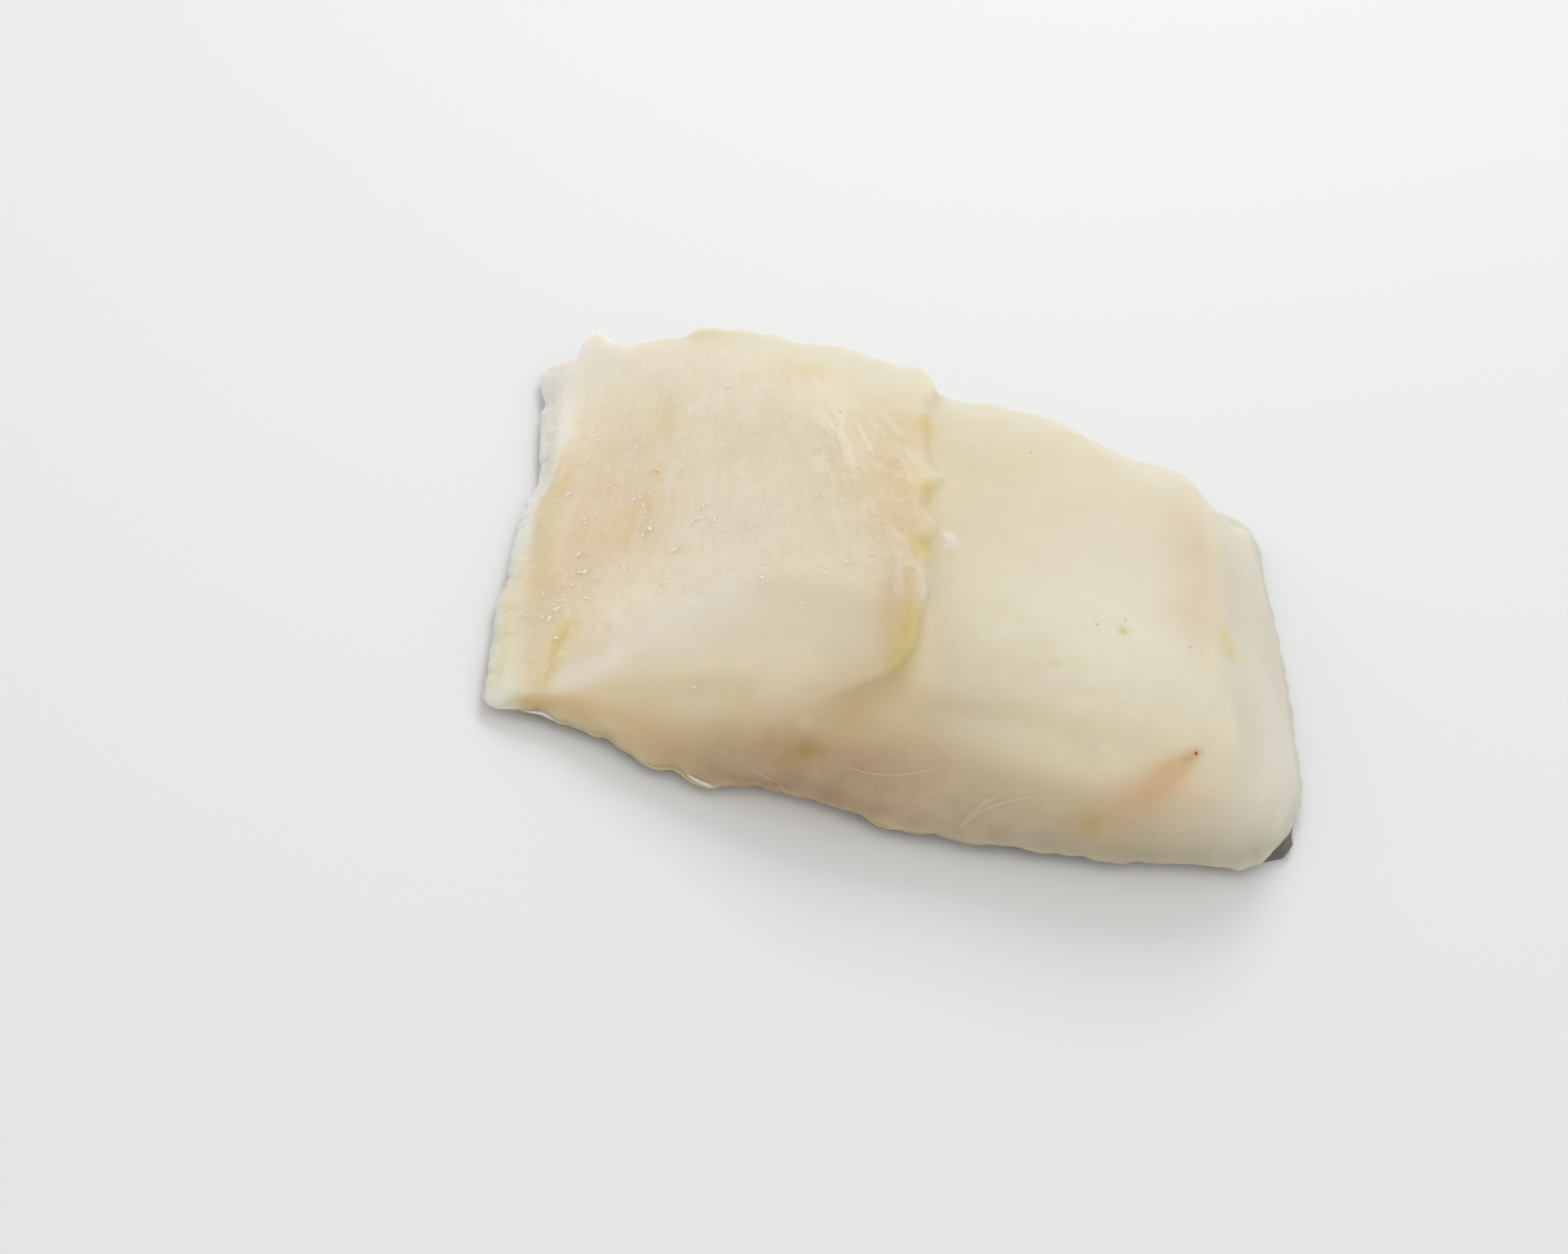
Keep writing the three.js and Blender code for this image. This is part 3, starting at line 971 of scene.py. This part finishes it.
# %% Lower edge strip
strip_faces = []
for i in range(len(foot) - 1):
    a, b = i * 8, (i + 1) * 8
    for k in (0, 2, 4):
        strip_faces.append((a + k, b + k, b + k + 2, a + k + 2))
        strip_faces.append((a + k + 1, a + k + 3, b + k + 3, b + k + 1))
    strip_faces.append((a + 6, b + 6, b + 7, a + 7))
    strip_faces.append((a, a + 1, b + 1, b))
end = (len(foot) - 1) * 8
strip_faces.append((0, 2, 4, 6, 7, 5, 3, 1))
strip_faces.append(tuple(end + k for k in (1, 3, 5, 7, 6, 4, 2, 0)))
strip = new_piece("lower_edge", strip_verts, strip_faces)
print("lower edge faces:", len(strip.data.polygons))

# %% [markdown]
# ## Moisture and specks
#
# On the cut bevel, water stands in tiny beads between the fibres. Each is coloured near white, a
# painted glint where it would catch the light. A few dark flecks and two blood dots are pressed into the
# flesh. A particle system could scatter them, but particles aren't part of the mesh. So flattened balls
# are copied from one template and joined into one mesh for each kind.

# %% Beads
def ball(subdivisions):
    """The points and faces of a ball of radius 1."""
    bm = bmesh.new()
    bmesh.ops.create_icosphere(bm, subdivisions=subdivisions, radius=1.0)
    points = np.array([vert.co[:] for vert in bm.verts])
    faces = [tuple(vert.index for vert in face.verts) for face in bm.faces]
    bm.free()
    return points, faces


BALL_POINTS, BALL_FACES = ball(2)


def add_bead(verts, faces, place, normal, radii, turn=0.0):
    """Adds a flattened ball at a place in mm: radii along, across and out of the surface."""
    outwards = Vector(normal).normalized()
    across = outwards.orthogonal().normalized()
    along = outwards.cross(across)
    tilt = Matrix.Rotation(turn, 3, outwards)
    axes = np.array([tilt @ along, tilt @ across, outwards])
    first = len(verts)
    verts.extend(place + (BALL_POINTS * radii) @ axes)
    faces.extend(tuple(first + k for k in face) for face in BALL_FACES)


BEAD_COUNT = 110
BEAD_RADIUS = (0.18, 0.44)
# Centre, and how far the beads spread along and across, in mm
BEAD_CLUSTERS = [
    (at(0.151, 0.668), 7.8, 7.8),
    (at(0.202, 0.414), 7.2, 7.2),
    (at(0.304, 0.387), 8.4, 7.2),
    (at(0.080, 0.381), 3.6, 10.8),
]

rng = np.random.default_rng(81)
bead_verts, bead_faces = [], []
for _ in range(BEAD_COUNT):
    centre, spread_x, spread_y = BEAD_CLUSTERS[rng.integers(len(BEAD_CLUSTERS))]
    x = centre[0] + rng.normal(0, spread_x)
    y = centre[1] + rng.normal(0, spread_y)
    radius = rng.uniform(*BEAD_RADIUS) * rng.uniform(0.6, 1.0)
    turn = rng.uniform(0, math.pi)
    found = straight_down(x, y)
    if found is not None:
        add_bead(bead_verts, bead_faces, *found, (radius * 1.7, radius * 0.8, radius * 0.4), turn)
beads = new_piece("moisture_beads", bead_verts, bead_faces)
print("beads:", len(beads.data.polygons) // len(BALL_FACES))

# %% Specks
SPECK_HEIGHT = 0.06
DOT_HEIGHT = 0.08
# Place, and radii in mm
SPECKS = [
    (at(0.685, 0.259), (0.35, 0.20)),
    (at(0.720, 0.279), (0.45, 0.12)),
    (at(0.797, 0.244), (0.50, 0.16)),
    (at(0.811, 0.236), (0.25, 0.10)),
    (at(0.386, 0.661), (0.22, 0.18)),
    (at(0.363, 0.572), (0.26, 0.16)),
    (at(0.626, 0.644), (0.40, 0.16)),
]
speck_verts, speck_faces = [], []
for place, (long, short) in SPECKS:
    add_bead(speck_verts, speck_faces, *straight_down(*place[:2]), (long, short, SPECK_HEIGHT))
specks = new_piece("dark_specks", speck_verts, speck_faces)

BLOOD_DOTS = [(at(0.806, 0.078, 0.71), 0.26), (at(0.181, 0.614, 0.39), 0.18)]
dot_verts, dot_faces = [], []
for place, size in BLOOD_DOTS:
    add_bead(dot_verts, dot_faces, *nearest(place), (size * 1.3, size, DOT_HEIGHT))
blood_dots = new_piece("blood_dots", dot_verts, dot_faces)
print("specks:", len(SPECKS), "blood dots:", len(BLOOD_DOTS))

# %% [markdown]
# ## Materials
#
# Raw fish is translucent: light goes a few millimetres in and comes out softened and a little warmer.
# A plain diffuse shader would look like plaster. Subsurface scattering does more for the look than any
# surface pattern. A film of water lies on top, so the surface has a soft gloss.

# %% Material helpers
# The sockets of a Mix node that mixes colours
MIX_FACTOR, MIX_A, MIX_B, MIX_RESULT = 0, 6, 7, 2


def linear(hex_colour):
    """An sRGB hex colour as Blender's linear red, green, blue and alpha."""
    channels = [int(hex_colour[i:i + 2], 16) / 255 for i in (1, 3, 5)]
    return [c / 12.92 if c <= 0.04045 else ((c + 0.055) / 1.055) ** 2.4 for c in channels] + [1.0]


def add(tree, kind, inputs=None, **settings):
    """Adds a node with its settings. An input is a value, or another node's output to link."""
    made = tree.nodes.new(kind)
    for name, value in settings.items():
        setattr(made, name, value)
    for name, value in (inputs or {}).items():
        if isinstance(value, bpy.types.NodeSocket):
            tree.links.new(value, made.inputs[name])
        else:
            made.inputs[name].default_value = value
    return made


def laid_over(tree, under, mask, amount, hex_colour):
    """The colour under, with another laid over it by a mask and an amount."""
    factor = add(tree, "ShaderNodeMath", {0: mask, 1: amount}, operation="MULTIPLY", use_clamp=True)
    inputs = {MIX_FACTOR: factor.outputs[0], MIX_A: under, MIX_B: linear(hex_colour)}
    return add(tree, "ShaderNodeMix", inputs, data_type="RGBA").outputs[MIX_RESULT]


def new_material(name):
    """An empty material with its shader and its output."""
    material = bpy.data.materials.new(name)
    material.use_nodes = True
    tree = material.node_tree
    tree.nodes.clear()
    shader = add(tree, "ShaderNodeBsdfPrincipled")
    add(tree, "ShaderNodeOutputMaterial", {"Surface": shader.outputs["BSDF"]})
    return material, tree, shader


print("a mid cream in linear light:", np.round(linear("#DDCEAC")[:3], 2))

# %% [markdown]
# ### Moist cod muscle
#
# Cod is a lean white fish, and its soaked muscle is cream rather than white. To the eye it is soft and
# deep, with a dull wet shine. One image could hold all its colours, but its layers would then be fixed.
# Here they are mixed one over another, each with its zone, its colour and its strength.

# %% Cod muscle
FLESH_IOR = 1.38
WATER_IOR = 1.33
SCATTER_DEPTH = 5.0 * MM
CLOUD_SIZE = 16 * MM
MOTTLE_SIZE = 5 * MM
# Single fibres are about 0.1 mm thick, too fine to show, so they and their torn ends are drawn coarser.
FIBRE_SPACING = 0.9 * MM
GRAIN_SIZE = 0.9 * MM

muscle, tree, shader = new_material("moist_cod_muscle")
place = add(tree, "ShaderNodeTexCoord").outputs["Object"]
patterns = []
for size, detail in ((CLOUD_SIZE, 3.0), (MOTTLE_SIZE, 4.0), (GRAIN_SIZE, 3.0)):
    inputs = {"Vector": place, "Scale": 1 / size, "Detail": detail, "Roughness": 0.6}
    patterns.append(add(tree, "ShaderNodeTexNoise", inputs).outputs["Fac"])
cloud, mottle, grain = patterns
print("noise patterns:", len(patterns))

# %% [markdown]
# The fibres fan out from a point behind the back edge, so angle and distance from it replace x and y
# before the noise is read. The grid of the noise is then stretched along the fibres.

# %% Fibre pattern
FIBRE_LENGTH = 6 * MM
fan_centre = (FAN_CENTRE * MM).tolist()
from_fan = add(tree, "ShaderNodeVectorMath", {0: place, 1: fan_centre}, operation="SUBTRACT")
fan_xyz = add(tree, "ShaderNodeSeparateXYZ", {"Vector": from_fan.outputs[0]})
minus_y = add(tree, "ShaderNodeMath", {0: fan_xyz.outputs["Y"], 1: -1.0}, operation="MULTIPLY")
angle = add(tree, "ShaderNodeMath", {0: fan_xyz.outputs["X"], 1: minus_y.outputs[0]}, operation="ARCTAN2")
fibres_per_turn = FAN_REACH * MM / FIBRE_SPACING
across_fibres = add(tree, "ShaderNodeMath", {0: angle.outputs[0], 1: fibres_per_turn}, operation="MULTIPLY")
flat_fan = add(tree, "ShaderNodeVectorMath", {0: from_fan.outputs[0], 1: (1, 1, 0)}, operation="MULTIPLY")
fan_length = add(tree, "ShaderNodeVectorMath", {0: flat_fan.outputs[0]}, operation="LENGTH")
along_fibres = add(
    tree, "ShaderNodeMath", {0: fan_length.outputs["Value"], 1: 1 / FIBRE_LENGTH}, operation="MULTIPLY"
)
fan_place = add(tree, "ShaderNodeCombineXYZ", {"X": across_fibres.outputs[0], "Y": along_fibres.outputs[0]})
fibres = add(
    tree, "ShaderNodeTexNoise",
    {"Vector": fan_place.outputs[0], "Scale": 1.0, "Detail": 3.0, "Roughness": 0.6, "Distortion": 0.5},
).outputs["Fac"]
print("fibres in a full turn of the fan:", round(2 * math.pi * fibres_per_turn))

# %% [markdown]
# Each layer is a tint of the muscle, and some layers are painted light and painted shade. A layer gives
# where it lies, its colour, and how much it covers what is below it. Broad tints come first and small
# marks last, because a later layer covers an earlier one.

# %% Colour layers of the muscle
# Zone, colour and strength, from the lowest layer to the uppermost
LAYERS = [
    ("cream_back", "#E9E3CB", 0.7),
    ("bevel", "#F4E9D1", 0.8),
    ("bevel_right", "#D7C49C", 0.78),
    ("bevel_top", "#CFBE92", 0.48),
    ("pink", "#E4C8A6", 0.65),
    ("ochre", "#DCC47F", 0.5),
    ("right_tan", "#D3C29A", 0.6),
    ("halo", "#D2B680", 0.72),
    # painted light past the lip
    ("lip_right_painted_light", "#F0DFBA", 0.6),
    ("lip_low", "#F2E2C0", 0.4),
    ("white_top", "#EAE0CA", 0.6),
    ("right_white", "#E2DACC", 0.45),
    ("spur_white", "#EFE7DC", 0.75),
    # painted light on the front of the top
    ("front_painted_light", "#F0EAD6", 0.75),
    ("bundles", "#EDE3D4", 0.42),
    # tan tint and painted shade, lower on the front side
    ("front_side_tan_and_shade", "#DFC9A2", 0.5),
    # tan tint and painted shade on the front side
    ("front_tan_and_shade", "#D9B98E", 0.7),
    # painted shade on the front shoulder of the thin half
    ("shoulder_painted_shade", "#DCC796", 0.3),
    # painted light on the front shoulder of the thick half
    ("shoulder_painted_light", "#F6EBCE", 0.8),
    ("front_end", "#F0E8D0", 0.6),
    ("back_side", "#DAD8C6", 0.9),
    ("flake_walls", "#F4F1E8", 0.7),
    ("back_fringe", "#E2DAC0", 0.6),
    ("ridge_flush", "#D6C09E", 0.5),
    ("end_face", "#D2CAB6", 0.85),
    ("end_top", "#E2DDCB", 0.7),
    ("end_low", "#E4DDCB", 0.75),
    ("end_rim", "#BDBEAA", 0.7),
    ("ridge_spot", "#DCC986", 0.75),
    # painted shade in the middle of the front side
    ("front_mauve_shade", "#A88674", 0.45),
    # painted shade low on the front side
    ("front_painted_shade", "#88725C", 0.62),
    ("near_skin", "#D6D2C2", 0.4),
    ("speck_halo", "#D6CA98", 0.6),
    ("olive", "#C8BC5C", 0.75),
    ("spots", "#D6C06C", 0.8),
    ("left_tan", "#DAC292", 0.5),
    ("lobe_low", "#F3E6CA", 0.75),
    # painted shade where the bevel turns down to the front
    ("ridge_painted_shade", "#D8BE8A", 0.4),
    ("corner_pale", "#F4F0E0", 0.6),
    # painted shade at the foot of the front side
    ("front_foot_shade", "#ACA68E", 0.45),
    ("membrane", "#E6DED2", 0.75),
    # painted shadow under the lip
    ("under_lip_shade", "#D2B87C", 0.5),
    ("straw", "#DFC97C", 0.75),
    ("mustard", "#C8AE54", 0.75),
    ("brown", "#B28F48", 0.7),
    ("blood", "#DBAC6C", 0.72),
    ("blood_dash", "#C2692C", 0.8),
    ("blood_end", "#C4AC62", 0.7),
    ("rim_tint", "#D9C49A", 0.75),
    # pale rim, whiter still as painted light
    ("rim", "#F6EFE4", 0.95),
    ("rim_front", "#E9D7AE", 0.85),
    ("flap", "#E6E0D8", 0.85),
    ("tip", "#E4E6D8", 0.8),
]
colour = add(
    tree, "ShaderNodeMix",
    {MIX_FACTOR: cloud, MIX_A: linear("#DDCEAC"), MIX_B: linear("#E3D8BE")},
    data_type="RGBA",
).outputs[MIX_RESULT]
for zone, hex_colour, strength in LAYERS:
    mask = add(tree, "ShaderNodeAttribute", attribute_name=zone)
    broken = add(
        tree, "ShaderNodeMapRange",
        {"Value": mottle, "From Min": 0.3, "From Max": 0.7, "To Min": 0.6 * strength, "To Max": strength},
    )
    colour = laid_over(tree, colour, mask.outputs["Fac"], broken.outputs[0], hex_colour)
print("colour layers:", len(LAYERS))

# %% [markdown]
# Over the layers come two fine patterns, on the bevel only, where the knife cut across the muscle:
# pale fibres with darker gaps, and a grain of pale torn ends and darker pits.

# %% Fibres and grain of the bevel
bevel = add(tree, "ShaderNodeAttribute", attribute_name="bevel").outputs["Fac"]
for pattern, start, stop, hex_colour, strength in (
    (fibres, 0.52, 0.70, "#F2E8D6", 0.15),
    (fibres, 0.46, 0.30, "#D3BC92", 0.13),
    (grain, 0.58, 0.74, "#F8F2E4", 0.28),
    (grain, 0.42, 0.28, "#CDB78F", 0.16),
):
    amount = add(
        tree, "ShaderNodeMapRange",
        {"Value": pattern, "From Min": start, "From Max": stop, "To Max": strength},
    )
    colour = laid_over(tree, colour, bevel, amount.outputs[0], hex_colour)
tree.links.new(colour, shader.inputs["Base Color"])
print("muscle nodes so far:", len(tree.nodes))

# %% [markdown]
# Red light goes a little further into the muscle than blue, which warms its shaded side. The water film
# is a thin coat with water's own index, and it gathers in some places more than in others.

# %% Shine and relief of the muscle
WETTEST, DRIEST = 0.45, 0.62  # roughness
BUMP_HEIGHT = 0.3 * MM

shader.inputs["IOR"].default_value = FLESH_IOR
shader.inputs["Subsurface Weight"].default_value = 1.0
shader.inputs["Subsurface Radius"].default_value = (1.0, 0.88, 0.7)
shader.inputs["Subsurface Scale"].default_value = SCATTER_DEPTH
shader.inputs["Coat Weight"].default_value = 0.15
shader.inputs["Coat Roughness"].default_value = 0.3
shader.inputs["Coat IOR"].default_value = WATER_IOR
wet = add(
    tree, "ShaderNodeMapRange",
    {"Value": mottle, "From Min": 0.3, "From Max": 0.7, "To Min": WETTEST, "To Max": DRIEST},
)
tree.links.new(wet.outputs[0], shader.inputs["Roughness"])

normal = add(tree, "ShaderNodeBump", {"Height": mottle, "Strength": 0.3, "Distance": BUMP_HEIGHT}).outputs[0]
for pattern, strength in ((fibres, 0.18), (grain, 0.4)):
    height = add(tree, "ShaderNodeMath", {0: pattern, 1: bevel}, operation="MULTIPLY")
    normal = add(
        tree, "ShaderNodeBump",
        {"Height": height.outputs[0], "Strength": strength, "Distance": BUMP_HEIGHT, "Normal": normal},
    ).outputs[0]
tree.links.new(normal, shader.inputs["Normal"])
flesh.data.materials.clear()
flesh.data.materials.append(muscle)
print("muscle nodes:", len(tree.nodes))

# %% [markdown]
# ### Wet cod skin
#
# Cod skin is olive grey, mottled with darker spots, under a fine net of scales a little under two
# millimetres across. Where it shows, at its cut edge, the eye sees a dark, wet, slightly rough line.
# Cells of a Voronoi pattern stand for the scales, because modelled ones would hardly show.

# %% Cod skin
SCALE_SIZE = 1.6 * MM
SCALE_HEIGHT = 0.15 * MM
BLOTCH_SIZE = 9 * MM
SKIN_IOR = 1.4
hide, tree, shader = new_material("wet_cod_skin")
place = add(tree, "ShaderNodeTexCoord").outputs["Object"]
blotches = add(
    tree, "ShaderNodeTexNoise",
    {"Vector": place, "Scale": 1 / BLOTCH_SIZE, "Detail": 4.0, "Roughness": 0.6},
)
mixed = add(
    tree, "ShaderNodeMix",
    {MIX_FACTOR: blotches.outputs["Fac"], MIX_A: linear("#45443A"), MIX_B: linear("#8B8670")},
    data_type="RGBA",
)
tree.links.new(mixed.outputs[MIX_RESULT], shader.inputs["Base Color"])
scales = add(
    tree, "ShaderNodeTexVoronoi", {"Vector": place, "Scale": 1 / SCALE_SIZE},
    feature="DISTANCE_TO_EDGE",
)
bump = add(
    tree, "ShaderNodeBump",
    {"Height": scales.outputs["Distance"], "Strength": 0.5, "Distance": SCALE_HEIGHT},
)
tree.links.new(bump.outputs[0], shader.inputs["Normal"])
shader.inputs["Roughness"].default_value = 0.35
shader.inputs["IOR"].default_value = SKIN_IOR
shader.inputs["Coat Weight"].default_value = 0.3
skin.data.materials.append(hide)
print("skin nodes:", len(tree.nodes))

# %% [markdown]
# ### Small finishes
#
# Connective tissue is collagen: whiter and more see-through than the muscle. The lower edge is muscle
# so thin that it looks golden. Scattering inside things this thin would make them glow or look like
# plastic, so each gets the same simple build: two colours mixed by noise, a wet gloss, and an opacity
# that lets the muscle behind it show.

# %% Tissue, edge, water and specks
def tissue(name, dark, light, size, roughness, opacity, piece):
    """A see-through material of two colours mixed by noise of a size in metres, given to a piece."""
    made, tree, shader = new_material(name)
    place = add(tree, "ShaderNodeTexCoord").outputs["Object"]
    noise = {"Vector": place, "Scale": 1 / size, "Detail": 3.0, "Roughness": 0.6}
    pattern = add(tree, "ShaderNodeTexNoise", noise).outputs["Fac"]
    mixed = add(
        tree, "ShaderNodeMix", {MIX_FACTOR: pattern, MIX_A: linear(dark), MIX_B: linear(light)},
        data_type="RGBA",
    )
    tree.links.new(mixed.outputs[MIX_RESULT], shader.inputs["Base Color"])
    bump = add(tree, "ShaderNodeBump", {"Height": pattern, "Strength": 0.4, "Distance": 0.2 * MM})
    tree.links.new(bump.outputs[0], shader.inputs["Normal"])
    shader.inputs["Alpha"].default_value = opacity
    shader.inputs["Roughness"].default_value = roughness
    shader.inputs["IOR"].default_value = FLESH_IOR
    piece.data.materials.append(made)


# Name, dark and light colour, size of the pattern, roughness, opacity and piece
tissue("white_connective_tissue", "#E9DDC8", "#F4EAD8", 2 * MM, 0.35, 0.26, threads)
tissue("white_edge_sliver", "#EFE8DA", "#FBF6EC", 2 * MM, 0.3, 0.85, slivers)
tissue("straw_fibre", "#E2D27C", "#F7EDBC", 2 * MM, 0.3, 0.55, straws)
tissue("thin_golden_flesh", "#D0BC82", "#EADDB6", 5 * MM, 0.35, 0.65, strip)
# The beads' near-white colour is a painted glint.
tissue("bead_painted_glint", "#FFF0D8", "#FFF8EA", 1 * MM, 0.12, 1.0, beads)
tissue("dark_membrane_fleck", "#8C8460", "#A69C7C", 1 * MM, 0.4, 0.36, specks)
tissue("blood_dot", "#7E3416", "#A04A20", 1 * MM, 0.3, 0.85, blood_dots)
print("materials:", len(bpy.data.materials))

# %% [markdown]
# ## What stands for what
#
# The imported solids stay where they are, but they are hidden where a finer piece stands for them.
# Nothing on a cod loin moves, so they all ride on the root.

# %% Ride and replace
for piece in (flesh, threads, straws, slivers, strip, beads, specks, blood_dots):
    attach(piece, "root")
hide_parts("flesh")
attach(skin, "root")
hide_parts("skin")
print("pieces ride on the root")

# %% [markdown]
# ## Floor
#
# The loin lies on a plain pale floor, wide enough that no side of it shows.

# %% Floor
FLOOR_HALF_SIDE = 3.0
FLOOR_GAP = 0.1 * MM  # keeps the floor just clear of the skin
floor_mesh = bpy.data.meshes.new("floor")
corners = [(x * FLOOR_HALF_SIDE, y * FLOOR_HALF_SIDE, 0) for x, y in ((-1, -1), (1, -1), (1, 1), (-1, 1))]
floor_mesh.from_pydata(corners, [], [(0, 1, 2, 3)])
floor = bpy.data.objects.new("floor", floor_mesh)
bpy.context.scene.collection.objects.link(floor)
floor.location.z = cad_low.z - FLOOR_GAP
plain, tree, shader = new_material("plain_floor")
shader.inputs["Base Color"].default_value = linear("#EDEDEC")
shader.inputs["Roughness"].default_value = 0.6
floor_mesh.materials.append(plain)
print("the floor is", 2 * FLOOR_HALF_SIDE, "m wide")

# %% [markdown]
# ## Light
#
# One wide soft light, high and a little behind, leaves the front side in soft shade and brings out the
# step of the flake. A pale sky fills the rest. A light from the front would flatten all of it.

# %% Light
SKY_STRENGTH = 0.80
KEY_POWER = 6.0
KEY_SIDE = 0.6
KEY_DISTANCE = 1.4
KEY_AZIMUTH = math.radians(82)
KEY_ELEVATION = math.radians(38)
KEY_PLACE = KEY_DISTANCE * Vector((
    math.cos(KEY_AZIMUTH) * math.cos(KEY_ELEVATION),
    math.sin(KEY_AZIMUTH) * math.cos(KEY_ELEVATION),
    math.sin(KEY_ELEVATION),
))

scene = bpy.context.scene
world = bpy.data.worlds.new("pale_sky")
scene.world = world
world.use_nodes = True
world.node_tree.nodes["Background"].inputs["Color"].default_value = linear("#FAFBFC")
world.node_tree.nodes["Background"].inputs["Strength"].default_value = SKY_STRENGTH
lamp = bpy.data.lights.new("soft_key", "AREA")
lamp.shape = "SQUARE"
lamp.size = KEY_SIDE
lamp.energy = KEY_POWER
key = bpy.data.objects.new("soft_key", lamp)
scene.collection.objects.link(key)
key.location = KEY_PLACE
key.rotation_euler = KEY_PLACE.to_track_quat("Z", "Y").to_euler()
scene.view_settings.view_transform = "Standard"
print("the light is at", np.round(KEY_PLACE, 2), "m")

# %% [markdown]
# ## Camera
#
# The camera looks down on the front side, as someone who bends over the table would. Its place is
# worked out from two angles and a distance, which are easier to change than three coordinates.

# %% Camera
CAMERA_AZIMUTH = math.radians(-11.7)
CAMERA_ELEVATION = math.radians(43.8)
CAMERA_ROLL = math.radians(16.7)
CAMERA_DISTANCE = 0.496
CAMERA_LENS = 65
SENSOR_WIDTH = 36
CAMERA_AIM = Vector(at(0.338, 0.289, 0.443) * MM)

camera_data = bpy.data.cameras.new("camera")
camera_data.lens = CAMERA_LENS
camera_data.sensor_width = SENSOR_WIDTH
camera = bpy.data.objects.new("camera", camera_data)
scene.collection.objects.link(camera)
back = Vector((
    math.sin(CAMERA_AZIMUTH) * math.cos(CAMERA_ELEVATION),
    -math.cos(CAMERA_AZIMUTH) * math.cos(CAMERA_ELEVATION),
    math.sin(CAMERA_ELEVATION),
))
camera.location = CAMERA_AIM + back * CAMERA_DISTANCE
camera.rotation_mode = "QUATERNION"
roll = Matrix.Rotation(CAMERA_ROLL, 3, "Z").to_quaternion()
camera.rotation_quaternion = back.to_track_quat("Z", "Y") @ roll
scene.camera = camera
print("the camera is at", np.round(camera.location, 2), "m")
